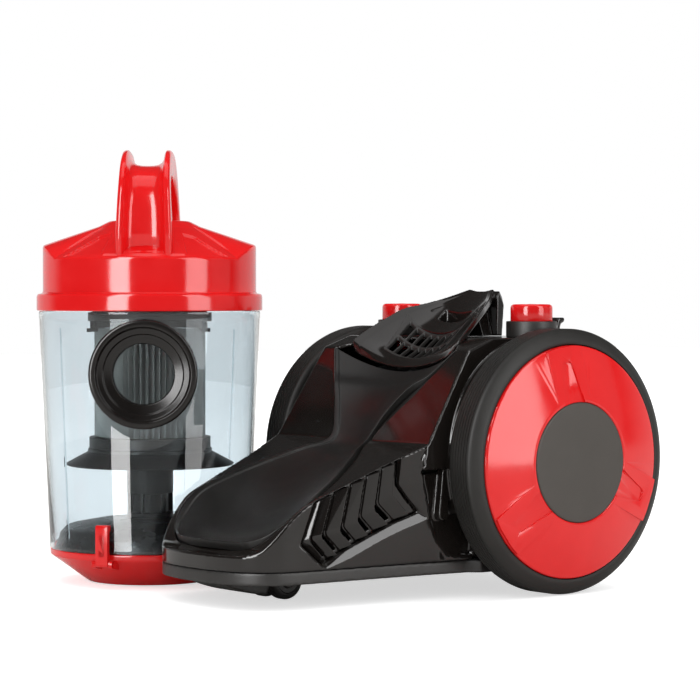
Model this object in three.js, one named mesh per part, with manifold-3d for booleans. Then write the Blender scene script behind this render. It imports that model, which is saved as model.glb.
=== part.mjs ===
// Bagless cylinder vacuum cleaner with its dust bin lifted out and stood beside it.
// Millimetres, +Z up, nose towards -Y. Origin: on the floor, centre of the whole
// object's footprint. Inside the root group the working origin is on the floor
// under the wheel axle, in the machine's mid-plane.
import * as THREE from 'three';
import { ParametricGeometry } from 'three/addons/geometries/ParametricGeometry.js';
import { mergeVertices } from 'three/addons/utils/BufferGeometryUtils.js';
import Module from 'manifold-3d';

const wasm = await Module();
wasm.setup();

// ---------------------------------------------------------------- dimensions
const GAP = 0.3;             // gap between touching pieces
const ROOT = [54.7, 82.5];    // footprint centre to axle origin
const WHEEL_R = 95, WHEEL_X0 = 94, DISC_R = 83.3, CAP_R = 42.7;
const DRUM_R = 88, DRUM_HALF = 89, DRUM_REAR = 78;
const BASE_Z = 17, SPLIT_Z = 26;
const WALL = 3;
const AXLE_R = 10;
const PEDAL_X = 73, PEDAL_Y = 5, PEDAL_R = 15.3, COLLAR_R = 18.5;
const PEDAL_TRAVEL = 5;
const BIN = [-154.4, -175], BIN_TURN = 52.1;
const CUP_R0 = 75, CUP_R1 = 83, CUP_Z0 = 25, CUP_Z1 = 202, CUP_T = 2.2;
const INLET_Z = 156.6, INLET_R = 39.5, INLET_BORE = 22;
const CASTER = [0, -160], CASTER_TRAIL = 15, ROLLER_R = 13.5;

// ------------------------------------------------------------------- helpers
const V3 = (x, y, z) => new THREE.Vector3(x, y, z);
const rad = THREE.MathUtils.degToRad;

function toSolid(geometry, near = 1e-3) {
  let g = geometry.index ? geometry.clone() : geometry.clone();
  g.deleteAttribute('normal');
  if (g.attributes.uv) g.deleteAttribute('uv');
  if (g.attributes.uv1) g.deleteAttribute('uv1');
  g = mergeVertices(g, near);
  const p = g.attributes.position.array, src = g.index.array, idx = [];
  for (let i = 0; i < src.length; i += 3) {
    const [a, b, c] = [src[i], src[i + 1], src[i + 2]];
    if (a !== b && b !== c && a !== c) idx.push(a, b, c);
  }
  let vol = 0;
  for (let i = 0; i < idx.length; i += 3) {
    const a = V3().fromArray(p, idx[i] * 3), b = V3().fromArray(p, idx[i + 1] * 3), c = V3().fromArray(p, idx[i + 2] * 3);
    vol += a.dot(b.cross(c));
  }
  if (vol < 0) for (let i = 0; i < idx.length; i += 3) [idx[i + 1], idx[i + 2]] = [idx[i + 2], idx[i + 1]];
  return new wasm.Manifold(new wasm.Mesh({ numProp: 3, vertProperties: new Float32Array(p), triVerts: new Uint32Array(idx) }));
}

function toGeometry(solid) {
  const mesh = solid.getMesh();
  const g = new THREE.BufferGeometry();
  g.setAttribute('position', new THREE.BufferAttribute(new Float32Array(mesh.vertProperties), 3));
  g.setIndex(new THREE.BufferAttribute(new Uint32Array(mesh.triVerts), 1));
  g.computeVertexNormals();
  return g;
}

const join = (...s) => s.reduce((a, b) => a.add(b));
const cut = (a, ...s) => s.reduce((x, y) => x.subtract(y), a);

function place(g, { move = [0, 0, 0], turn = [0, 0, 0] } = {}) {
  const m = new THREE.Matrix4().compose(V3(...move), new THREE.Quaternion().setFromEuler(new THREE.Euler(...turn.map(rad), 'XYZ')), V3(1, 1, 1));
  return g.applyMatrix4(m);
}

// box from low corner to high corner
function box(lo, hi) {
  const g = new THREE.BoxGeometry(hi[0] - lo[0], hi[1] - lo[1], hi[2] - lo[2]);
  g.translate((lo[0] + hi[0]) / 2, (lo[1] + hi[1]) / 2, (lo[2] + hi[2]) / 2);
  return toSolid(g);
}

// cylinder between two heights along an axis
function rod(axis, r, a, b, centre, seg = 32, r2 = r) {
  const g = new THREE.CylinderGeometry(r2, r, b - a, seg);
  g.translate(0, (a + b) / 2, 0);
  if (axis === 'x') g.rotateZ(-Math.PI / 2);
  if (axis === 'z') g.rotateX(Math.PI / 2);
  g.translate(...centre);
  return toSolid(g);
}

// turned piece: closed [r, h] profile about an axis
function turned(profile, axis = 'z', centre = [0, 0, 0], seg = 36) {
  const pts = [...profile, profile[0]].map(([r, h]) => new THREE.Vector2(r, h));
  const g = new THREE.LatheGeometry(pts, seg);
  if (axis === 'z') g.rotateX(Math.PI / 2);
  if (axis === 'x') g.rotateZ(-Math.PI / 2);
  if (axis === '-y') g.rotateX(Math.PI);
  g.translate(...centre);
  return toSolid(g);
}

// outline in the XY plane, raised between two heights
function prism(outline, z0, z1) {
  const g = new THREE.ExtrudeGeometry(new THREE.Shape(outline.map(([x, y]) => new THREE.Vector2(x, y))), { depth: z1 - z0, bevelEnabled: false, curveSegments: 12 });
  g.translate(0, 0, z0);
  return toSolid(g);
}

// outline in the YZ plane, drawn across X
function crossPrism(outline, x0, x1) {
  const g = new THREE.ExtrudeGeometry(new THREE.Shape(outline.map(([y, z]) => new THREE.Vector2(y, z))), { depth: x1 - x0, bevelEnabled: false });
  g.applyMatrix4(new THREE.Matrix4().makeBasis(V3(0, 1, 0), V3(0, 0, 1), V3(1, 0, 0)));
  g.translate(x0, 0, 0);
  return toSolid(g);
}

// smooth body through rings of equal point count
function loft(rings) {
  const n = rings[0].length, m = rings.length;
  const mid = (r) => r.reduce((a, p) => a.add(p), V3(0, 0, 0)).multiplyScalar(1 / r.length);
  const caps = [mid(rings[0]), mid(rings[m - 1])];
  const g = new ParametricGeometry((u, v, t) => {
    const j = Math.round(v * (m + 1)), i = Math.round(u * n) % n;
    t.copy(j === 0 ? caps[0] : j === m + 1 ? caps[1] : rings[j - 1][i]);
  }, n, m + 1);
  return toSolid(g);
}

const biggest = (s) => s.decompose().sort((a, b) => b.volume() - a.volume())[0];
// drops sliver faces left where surfaces nearly meet
const tidy = (s) => toSolid(toGeometry(s.asOriginal().simplify(0.02)), 0.01);
const mirrorX = (s) => s.mirror([1, 0, 0]);

// smooth table lookup: rows of numbers, first is the parameter
function spline(rows, count) {
  const dims = rows[0].length, out = [];
  const curves = [];
  for (let k = 0; k < dims; k += 3) {
    const pick = (r) => V3(r[k], r[k + 1] ?? 0, r[k + 2] ?? 0);
    curves.push(new THREE.CatmullRomCurve3(rows.map(pick), false, 'catmullrom', 0.5));
  }
  for (let i = 0; i < count; i++) {
    const t = i / (count - 1), row = [];
    curves.forEach((c, j) => row.push(...c.getPoint(t).toArray().slice(0, Math.min(3, dims - 3 * j))));
    out.push(row);
  }
  return out;
}

const tones = {
  gloss_black: [0x14110f, 0.18, 0], satin_black: [0x1c1917, 0.5, 0], red: [0xd8141a, 0.2, 0],
  tyre: [0x2b2826, 0.6, 0], cap: [0x3c3834, 0.45, 0], clear: [0xa9bcc6, 0.08, 0], filter: [0xb9bdbb, 0.9, 0],
  steel: [0x9a9a98, 0.35, 1], rubber: [0x1a1a1a, 0.8, 0], copper: [0x9c5a2e, 0.4, 1], grey: [0x55585a, 0.6, 0],
};
const root = new THREE.Group();
function add(parent, name, solid, tone) {
  const [color, roughness, metalness] = tones[tone];
  const material = new THREE.MeshStandardMaterial({ color, roughness, metalness });
  if (tone === 'clear') { material.transparent = true; material.opacity = 0.35; }
  const mesh = new THREE.Mesh(toGeometry(solid), material);
  mesh.name = name;
  parent.add(mesh);
  return mesh;
}
function group(parent, position = [0, 0, 0], turnZ = 0) {
  const g = new THREE.Group();
  g.position.set(...position);
  g.rotation.z = rad(turnZ);
  parent.add(g);
  return g;
}

// --------------------------------------------------------------- body shapes
// half outline of the base, nose to tail, [x, y]
const HALF_PLAN = [[0, -247], [18, -246.4], [34, -243.6], [47, -238.5], [57, -231], [64, -221], [67.5, -208], [69, -194], [70, -182], [73, -140], [77, -100], [82, -66], [85, -62]];
// half outline of the nose and sides: y, x at the foot line, x at the top edge, z of the top edge
const FLARE = [
  [-247, 0, 0, 37], [-246.4, 18, 18, 37], [-243.6, 34, 34, 37], [-238.5, 47, 47, 37], [-231, 57, 57, 40], [-221, 64, 64.1, 50], [-208, 67.5, 67.9, 62], [-194, 69.2, 71, 73.8],
  [-182, 70, 72.7, 78.7], [-160, 71.6, 76.3, 87.6], [-140, 73, 79.4, 95.7], [-120, 75, 83.4, 103.8], [-105.6, 76.4, 86.9, 109.6], [-84, 79, 87.6, 118.3], [-60, 82, 88, 128],
];
const inset = (pts, t) => pts.map(([x, y], i) => {
  const a = pts[Math.max(i - 1, 0)], b = pts[Math.min(i + 1, pts.length - 1)];
  let nx = -(b[1] - a[1]), ny = b[0] - a[0];
  const l = Math.hypot(nx, ny);
  return [Math.max(0, x + (nx / l) * t), y + (ny / l) * t];
});
const bothSides = (half) => {
  const h = half.filter(([x, y], i) => i === 0 || x > 0.01);
  return [...h, ...h.slice(1).reverse().map(([x, y]) => [-x, y])];
};

// top edge of the side walls, [y, z]
const TOP_EDGE = [[-247.5, 37], [-238, 37.2], [-231, 40], [-226, 45], [-213, 60], [-203, 68.9], [-194, 73.8], [-60, 128]];
// outer face of a flared side wall
function sideX(y, z) {
  let i = 1;
  while (i < FLARE.length - 1 && FLARE[i][0] < y) i++;
  const a = FLARE[i - 1], b = FLARE[i], f = (y - a[0]) / (b[0] - a[0]);
  const xf = a[1] + (b[1] - a[1]) * f, xt = a[2] + (b[2] - a[2]) * f, zt = a[3] + (b[3] - a[3]) * f;
  return xf + ((xt - xf) * (z - SPLIT_Z)) / (zt - SPLIT_Z);
}
// front walls of the motor block lean back from the shelf
const BLOCK = [[-111.7, 100], [-64.3, 174.8], [-40, 183.3], [36, 183.3], [47, 170]];
const BLOCK_SIDE = V3(1, 0, 0.072).normalize();

function slab(normal, point, size = 400) {
  // block of material on the inner side of a plane
  const g = new THREE.BoxGeometry(size, size, size);
  g.translate(0, 0, -size / 2);
  const q = new THREE.Quaternion().setFromUnitVectors(V3(0, 0, 1), normal);
  g.applyQuaternion(q);
  g.translate(...point.toArray());
  return toSolid(g);
}

// whole body envelope, drawn in by t
function envelope(t) {
  const low = t ? SPLIT_Z - 20 : SPLIT_Z;
  const level = (z) => {
    const half = FLARE.map(([y, xf, xt, zt], i) => [i < 7 ? xf : sideX(y, z), y]);
    return bothSides(inset(half, t).map((p, i) => (i < 7 ? p : [half[i][0] - t, i === half.length - 1 ? half[i][1] : p[1]])));
  };
  const ring = (z) => level(z).map(([x, y]) => V3(x, y, z));
  let front = loft([ring(low), ring(130)]);
  const edge = TOP_EDGE.map(([y, z]) => [y, z - t]);
  front = front.intersect(crossPrism([[-260, low - 5], [-260, edge[0][1]], ...edge, [-60, low - 5]], -100, 100));
  // the wheel side of the shelf is set back behind the vents
  for (const s of [1, -1]) {
    const back = crossPrism([[-104, 116], [-108.6 + t, 98.7], [-106.5 + t, 82.4], [-98.7 + t, 57.4], [-93 + t, 42], [-90 + t, 30 + t], [-40, 30 + t], [-40, 135]], Math.min(s * (79.5 - t), s * 110), Math.max(s * (79.5 - t), s * 110));
    front = cut(front, back);
  }
  const drum = rod('x', DRUM_R - t, -DRUM_HALF + t, DRUM_HALF - t, [0, 0, 95], 40);
  const top = BLOCK.map(([y, z], i) => [[y + t * 0.84, z - t * 0.54], [y + t * 0.5, z - t * 0.8], [y, z - t], [y - t * 0.5, z - t], [y - t, z]][i]);
  let block = crossPrism([[-111.7 + t, low], ...top, [47 - t, low]], -95, 95);
  for (const s of [1, -1]) {
    const n = V3(s * BLOCK_SIDE.x, 0, BLOCK_SIDE.z);
    block = block.intersect(slab(n, V3(s * 86.9, 0, 109.6).addScaledVector(n, -t)));
  }
  block = block.intersect(join(crossPrism([[-120, 92 - t], [-120, 200], [60, 200], [60, 92 - t]], -95, 95), box([-79.2 + t, -120, low], [79.2 - t, 60, 120])));
  const body = join(drum, block).intersect(box([-120, -130, low], [120, DRUM_REAR - t, 183.3 - t]));
  return join(front, body.intersect(join(box([-120, -130, 60], [120, 90, 200]), box([-DRUM_HALF + t, -62 + t, low], [DRUM_HALF - t, 78, 100]), box([-79.2 + t, -90, low], [79.2 - t, 0, 100]))));
}

// cradle ramp: rows of ridge x, ridge y, ridge z, centre y, centre z
const CRADLE = [
  [42, -229.5, 45.5, -236, 46], [54, -222.5, 50.5, -227, 46.5], [62.5, -211, 61, -214, 50], [66, -193.5, 74.9, -194, 62.5],
  [57.5, -168, 86.5, -167, 78], [40.5, -137.9, 99.6, -136, 93.5], [31.6, -125.1, 104.6, -122.5, 101], [21.5, -107.7, 111, -104, 109],
  [30, -96.5, 131, -89.5, 130], [42.8, -86.5, 148, -75, 146], [54.4, -76.5, 157.5, -64, 153], [68.4, -64.5, 174.8, -57.5, 158.5],
];
function cradle(top, bottom, widen, lift = 0, stations = 18, across = 6, table = CRADLE) {
  const up = V3(0, -0.5, 0.866);
  const rows = spline(table, stations);
  const rings = rows.map(([rx, ry, rz, cy, cz], k) => {
    const a = rows[Math.max(k - 1, 0)], b = rows[Math.min(k + 1, rows.length - 1)];
    const n = V3(0, -((b[2] + b[4]) - (a[2] + a[4])), (b[1] + b[3]) - (a[1] + a[3])).normalize();
    const at = (u, d) => V3(u * (rx + widen), cy + (ry - cy) * u * u, cz + (rz - cz) * u * u).addScaledVector(n, d);
    const ring = [];
    for (let i = 0; i <= across; i++) ring.push(at(-1 + (2 * i) / across, top).addScaledVector(up, lift));
    for (let i = across; i >= 0; i--) ring.push(at(-1 + (2 * i) / across, bottom));
    return ring;
  });
  return loft(rings);
}

// hood over the air intake: rows of half width, edge y, edge z, centre y, centre z
const HOOD = [
  [55, -57, 171.5, -55.5, 161], [59.2, -55.1, 180, -48.5, 167], [56.4, -45.7, 187.1, -37.5, 173], [52.3, -34.9, 194.1, -26.5, 181.5], [45.1, -18.7, 203.5, -12.5, 191.3],
  [37, -7.6, 207, -1.5, 199.8], [26.3, 6.1, 211.5, 8.5, 208], [13.2, 21.8, 218.5, 21.5, 217],
];
function hoodSheet(top, bottom, trim = 0, lift = 0, stations = 12, across = 6) {
  const up = V3(0, -0.5, 0.866);
  const rows = spline(HOOD, stations);
  const rings = rows.map(([rx, ry, rz, cy, cz], k) => {
    const a = rows[Math.max(k - 1, 0)], b = rows[Math.min(k + 1, rows.length - 1)];
    const n = V3(0, -((b[2] + b[4]) - (a[2] + a[4])), (b[1] + b[3]) - (a[1] + a[3])).normalize();
    const at = (u, d) => V3(u * (rx - trim), cy + (ry - cy) * u * u, cz + (rz - cz) * u * u).addScaledVector(n, d);
    const ring = [];
    for (let i = 0; i <= across; i++) ring.push(at(-1 + (2 * i) / across, top).addScaledVector(up, lift));
    for (let i = across; i >= 0; i--) ring.push(at(-1 + (2 * i) / across, bottom));
    return ring;
  });
  return loft(rings);
}

// side vents: louvre lines as top, bend and foot in the YZ plane
const LOUVRES = [
  [[-188.1, 75.9], [-197.2, 46.4], [-181.5, 30.5]], [[-179.6, 79.3], [-187.7, 48.7], [-173.2, 34.7]], [[-166.8, 84.5], [-172.9, 52.1], [-161.2, 41.1]],
  [[-154.6, 89.4], [-158.7, 58], [-147.9, 47]], [[-142.4, 94.4], [-145.2, 65.4], [-131.5, 53.8]], [[-130.8, 98.9], [-131.4, 75.7], [-115.1, 59.6]],
];
const VENT_FRONT = [[-194, 72.9], [-203.6, 44.5], [-185.4, 29.2]];
const POCKET = [
  // rim on the side wall, foot of the slope inside
  [[-194.6, 73.2], [-193.6, 72.4]], [[-126, 101.2], [-125.6, 100.4]], [[-107.2, 107.6], [-124.8, 82.1]], [[-110, 98.7], [-124.6, 81.9]], [[-107.9, 82.4], [-117, 73]], [[-100.6, 58], [-107, 62]],
  [[-124.4, 50], [-127, 55.4]], [[-146.4, 41.2], [-147.6, 46.6]], [[-164.1, 33.6], [-164, 39.6]], [[-183, 27.2], [-182.6, 30.8]], [[-188, 29.4], [-187, 31.2]], [[-204.6, 44.5], [-202.8, 44.6]],
];
// solid under a patch of the side wall, between two depths
function sideSolid(outer, inner, d0, d1, over = 0) {
  const at = (p, d) => V3(sideX(p[0], p[1]) - d, p[0], p[1]);
  const rings = [];
  if (over) rings.push(outer.map((p) => at(p, -over)));
  rings.push(outer.map((p) => at(p, d0)), inner.map((p) => at(p, d1)));
  return rings;
}

// bent bar: two rings of three points along the rear edge and three back along the front edge
function shutter(outer, deep) {
  const p = [...outer, ...deep], idx = [];
  const quad = (a, b, c, d) => idx.push(a, b, c, a, c, d);
  for (let i = 0; i < 6; i++) quad(i, (i + 1) % 6, 6 + ((i + 1) % 6), 6 + i);
  for (const [a, b, c, d] of [[0, 1, 4, 5], [1, 2, 3, 4]]) { quad(d, c, b, a); quad(a + 6, b + 6, c + 6, d + 6); }
  const g = new THREE.BufferGeometry().setFromPoints(p);
  g.setIndex(idx);
  return toSolid(g);
}

// ------------------------------------------------------------ machine: shell
const machine = group(root);
{
  // lower tray
  const plan = (t) => {
    const h = inset(HALF_PLAN, t).map(([x, y]) => [x, y]);
    return bothSides([...h, [DRUM_HALF - t, -58 + t], [DRUM_HALF - t, 58 - t], [80 - t, 70 - t], [70 - t, DRUM_REAR - 1 - t]]);
  };
  let tray = prism(plan(0.4), BASE_Z, SPLIT_Z - GAP);
  tray = cut(tray, prism(plan(3.4), BASE_Z + 3, 40));
  // keel fairing under the nose
  tray = join(tray, crossPrism([[-239, 18], [-228, 12.6], [-213, 8], [-203, 6.2], [-196.5, 6.6], [-195, 18]], -21, 21));
  // caster well and its pivot post
  tray = cut(tray, rod('z', 35, 0, 33, [...CASTER, 0], 28));
  tray = join(tray, turned([[35, 17], [38, 17], [38, 36], [0, 36], [0, 33], [35, 33]], 'z', [...CASTER, 0], 28));
  tray = cut(tray, rod('z', 4.3, 20, 45, [...CASTER, 0], 16));
  add(machine, 'lower_chassis', tray, 'satin_black');

  // upper housing shell
  let shell = cut(envelope(0), envelope(WALL));
  const rim = POCKET.map((p) => p[0]), foot = POCKET.map((p) => p[1]);
  const grow = (pts, k, c = [-150, 66]) => pts.map(([y, z]) => [c[0] + (y - c[0]) * k, c[1] + (z - c[1]) * k]);
  const frame = loft(sideSolid(grow(rim, 0.985), grow(rim, 0.985), 0.6, 8.4));
  shell = join(shell, frame, mirrorX(frame));
  const keep = join(cradle(GAP, -7 - GAP, GAP + 0.1), cradle(GAP, -7 - GAP, GAP + 0.1).translate([0, -0.6, 0]), cradle(0, -3, GAP, 80), cradle(0, -3, 0, 60, 3, 6, [[67, -66, 174, -58, 157.6], [64, -60, 176, -54, 160], [58, -54, 177, -50, 164]]));
  shell = cut(shell, keep, join(hoodSheet(GAP, -4.5 - GAP, -GAP), hoodSheet(0, -3, -GAP, 60)));
  // clear the floor of the nose in front of the ramp
  shell = cut(shell, rod('z', 38.6, 10, 36.4, [...CASTER, 0], 28));
  const pocket = join(loft(sideSolid(rim, foot, 0, 3.2, 3)), loft(sideSolid(foot, foot, 3.19, 20)));
  shell = cut(shell, pocket, mirrorX(pocket));
  for (const side of [1, -1]) {
    shell = cut(shell, rod('z', 6, 170, 190, [side * PEDAL_X, PEDAL_Y, 0], 24));
    shell = cut(shell, rod('x', AXLE_R + GAP, Math.min(side * 80, side * 95), Math.max(side * 80, side * 95), [0, 0, 95], 32));
    // parking lug behind each pedal
    const lug = crossPrism([[25, 181], [25, 190.5], [26.6, 195.4], [29, 197.4], [34, 197.6], [34, 194.4], [30.2, 193], [29.2, 188], [31, 181]], 67, 78);
    shell = join(shell, side > 0 ? lug : mirrorX(lug));
    // leaf-shaped rib in front of the wheel
    const rib = crossPrism([[-95.5, 56], [-93.6, 72], [-91.4, 92], [-90, 103], [-86, 103], [-86, 56]], 78.6, 86).intersect(rod('x', 60, 70, 90, [-0, -41, 79.5], 40));
    shell = join(shell, side > 0 ? rib : mirrorX(rib));
  }
  // intake window under the hood, exhaust window and cord outlet at the back
  shell = cut(shell, box([-48, 60, 70], [48, 90, 140]), rod('z', 9.3, 60, 95, [0, 0, 0], 24).rotate([-90, 0, 0]).translate([-66, 0, 50]));
  add(machine, 'upper_housing', tidy(biggest(shell)), 'gloss_black');

  // cradle panel
  let ramp = cradle(0, -7, 0);
  add(machine, 'cradle_panel', ramp, 'gloss_black');

  // hood, with its duct box and rear wall
  let hood = hoodSheet(0, -4.5);
  const under = hoodSheet(-4.4, -60, 12).intersect(box([-60, -18, 183.3 + GAP], [60, 24, 230]));
  const fin = crossPrism([[17, 183.3 + GAP], [23, 183.3 + GAP], [25.4, 213], [22.6, 217.8], [18, 214]], -22, 22).intersect(hoodSheet(-0.6, -60, -6));
  hood = join(hood, cut(under, hoodSheet(-4.3, -80, 16).intersect(box([-60, -14, 180], [60, 17, 230]))), fin);
  hood = cut(hood, cradle(0.6, -7.3, GAP));
  // grille window and cold-air slot
  const grilleCut = [[-33, -47], [33, -47], [37, -20], [-37, -20]];
  hood = cut(hood, prism(grilleCut, 150, 240).intersect(hoodSheet(6, -9, 8)));
  hood = cut(hood, prism([[-14.5, -9], [14.5, -9], [15.5, 0.5], [-15.5, 0.5]], 170, 240).intersect(hoodSheet(6, -9, 2)));
  add(machine, 'hood', tidy(biggest(hood)), 'gloss_black');

  // intake grille set in the hood window
  let grille = hoodSheet(-1.2, -3.6, 8).intersect(prism([[-33 + GAP, -47 + GAP], [33 - GAP, -47 + GAP], [37 - GAP, -20 - GAP], [-37 + GAP, -20 - GAP]], 150, 240));
  for (let r = 0; r < 2; r++) {
    for (let c = 0; c < 8; c++) {
      const x0 = -30.5 + c * 7.8, y0 = -44.5 + r * 11.8;
      grille = cut(grille, box([x0, y0, 140], [x0 + 6.2, y0 + 9.6, 240]));
    }
  }
  add(machine, 'intake_grille', tidy(biggest(grille)), 'satin_black');

  // side vent inserts: slanted louvres on a slotted back plate
  {
    const mix = (p, q, f) => [p[0] + (q[0] - p[0]) * f, p[1] + (q[1] - p[1]) * f];
    const shrink = foot.map(([y, z]) => [y + (y < -150 ? 0.5 : -0.5), z + (z < 66 ? 0.5 : -0.5)]);
    let panel = loft(sideSolid(shrink, shrink, 6.2, 8));
    LOUVRES.forEach((line, k) => {
      const before = k ? LOUVRES[k - 1] : VENT_FRONT, lead = before.map((p, i) => mix(p, line[i], k ? 0.42 : 0.36));
      const at = (p, d) => V3(sideX(p[0], p[1]) - d, p[0], p[1]);
      const inn = (row) => [mix(row[0], row[1], 0.06), row[1], mix(row[2], row[1], 0.1)];
      const e = inn(line), l = inn(lead);
      const outer = [at(e[0], 0.5), at(e[1], 0.5), at(e[2], 0.8), at(l[2], 4.2), at(l[1], 4.2), at(l[0], 4.2)];
      const deep = [at(e[0], 7.2), at(e[1], 7.2), at(e[2], 7.2), at(l[2], 7.2), at(l[1], 7.2), at(l[0], 7.2)];
      panel = join(panel, shutter(outer, deep));
      // air slot behind the louvre before this one
      if (k) {
        const a = before.map((p, i) => mix(p, line[i], 0.08)), c = before.map((p, i) => mix(p, line[i], 0.34));
        const slot = [mix(a[0], a[1], 0.12), a[1], mix(a[2], a[1], 0.2), mix(c[2], c[1], 0.2), c[1], mix(c[0], c[1], 0.12)];
        panel = cut(panel, shutter(slot.map((p) => at(p, 5)), slot.map((p) => at(p, 12))));
      }
    });
    panel = tidy(biggest(cut(panel, cradle(GAP, -7 - GAP, GAP + 0.2))));
    for (const [side, name] of [[1, 'right'], [-1, 'left']]) add(machine, `vent_panel_${name}`, side > 0 ? panel : mirrorX(panel), 'gloss_black');
  }

  // rear exhaust grille, its filter, and the cord outlet
  let rear = box([-48 + GAP, 74.6, 70 + GAP], [48 - GAP, 77.6, 140 - GAP]);
  for (let i = 0; i < 6; i++) rear = cut(rear, box([-42, 60, 76 + i * 10.2], [42, 90, 81.5 + i * 10.2]));
  add(machine, 'exhaust_grille', rear, 'satin_black');
  add(machine, 'exhaust_filter', box([-47, 64, 71], [47, 74.2, 139]), 'filter');
  const outlet = turned([[5, -3], [12.5, -3], [12.5, -0.3], [9, -0.3], [9, 4], [5, 4]], 'z', [0, 0, 0], 16).rotate([90, 0, 0]).translate([-66, DRUM_REAR, 50]);
  add(machine, 'cord_outlet', outlet, 'satin_black');
}

// ------------------------------------------------------ machine: inner works
{
  // suction motor lies across the machine on the right
  const mc = [0, -8, 88];
  const can = cut(rod('x', 46, 2, 62, mc, 24), rod('x', 43, 5, 80, mc, 24), rod('x', 9, -5, 20, mc, 16));
  add(machine, 'motor_can', can, 'steel');
  const cover = cut(rod('x', 52, 62.3, 82, mc, 24), rod('x', 50, 62, 80, mc, 24), rod('x', 20, 70, 90, mc, 24));
  add(machine, 'fan_cover', cover, 'grey');
  const rotor = group(machine);
  add(rotor, 'motor_shaft', join(rod('x', 4, -2, 78, mc, 16), rod('x', 24, 14, 52, mc, 24)), 'copper');
  let fan = join(rod('x', 45, 64, 66, mc, 24), rod('x', 10, 64, 74, mc, 24));
  for (let i = 0; i < 7; i++) {
    const b = box([65, -44, -1], [74, -9, 1]).rotate([(i * 360) / 7, 0, 0]).translate(mc);
    fan = join(fan, b);
  }
  fan = cut(fan, rod('x', 4 + 0.3, 60, 80, mc, 16));
  add(rotor, 'impeller', fan, 'grey');
  // cord reel on the left: empty drum with two flanges on a fixed spindle
  const rc = [0, -2, 94];
  const reel = turned([[8.3, -80], [66, -80], [66, -78], [34, -77], [34, -35], [66, -34], [66, -32], [8.3, -32]], 'x', [0, rc[1], rc[2]], 24);
  add(machine, 'cord_reel', reel, 'grey');
  add(machine, 'reel_spindle', join(rod('x', 8, -81.6, -28, rc, 20), box([-27.9, -60, 60], [-25, 55, 128]), rod('x', 8, -29, -25, rc, 24)), 'satin_black');
  // mains switch under the power pedal
  add(machine, 'power_switch', box([64, -6, 150], [82, 16, 163]), 'grey');
}

// ------------------------------------------------------------------- pedals
for (const [side, name] of [[1, 'power'], [-1, 'cord']]) {
  const c = [side * PEDAL_X, PEDAL_Y, 0];
  const collar = turned([[COLLAR_R - 2.6, 183.3], [COLLAR_R, 183.3], [COLLAR_R, 194], [COLLAR_R - 1, 195], [COLLAR_R - 2.6, 195]], 'z', c, 24);
  add(machine, `pedal_collar_${name}`, collar, 'satin_black');
  const cap = turned([[0, 172], [4, 172], [4, 189], [PEDAL_R, 189], [PEDAL_R, 205], [PEDAL_R - 0.8, 206.8], [PEDAL_R - 2.6, 207.6], [0, 207.9]], 'z', c, 24);
  const pedal = group(root);
  add(pedal, `${name}_pedal`, cap, 'red');
  // return spring between the block's top and the pedal
  const turns = 3.5, pts = [];
  for (let i = 0; i <= 26; i++) {
    const a = (i / 26) * turns * 2 * Math.PI;
    pts.push(V3(c[0] + 9.5 * Math.cos(a), c[1] + 9.5 * Math.sin(a), 184 + (4.2 * i) / 26));
  }
  const sec = new THREE.Shape([0, 1, 2, 3].map((k) => new THREE.Vector2(0.5 * Math.cos((k * Math.PI) / 2), 0.5 * Math.sin((k * Math.PI) / 2))));
  const coil = new THREE.ExtrudeGeometry(sec, { steps: 24, bevelEnabled: false, extrudePath: new THREE.CatmullRomCurve3(pts) });
  add(machine, `${name}_spring`, toSolid(coil), 'steel');
}

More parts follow.
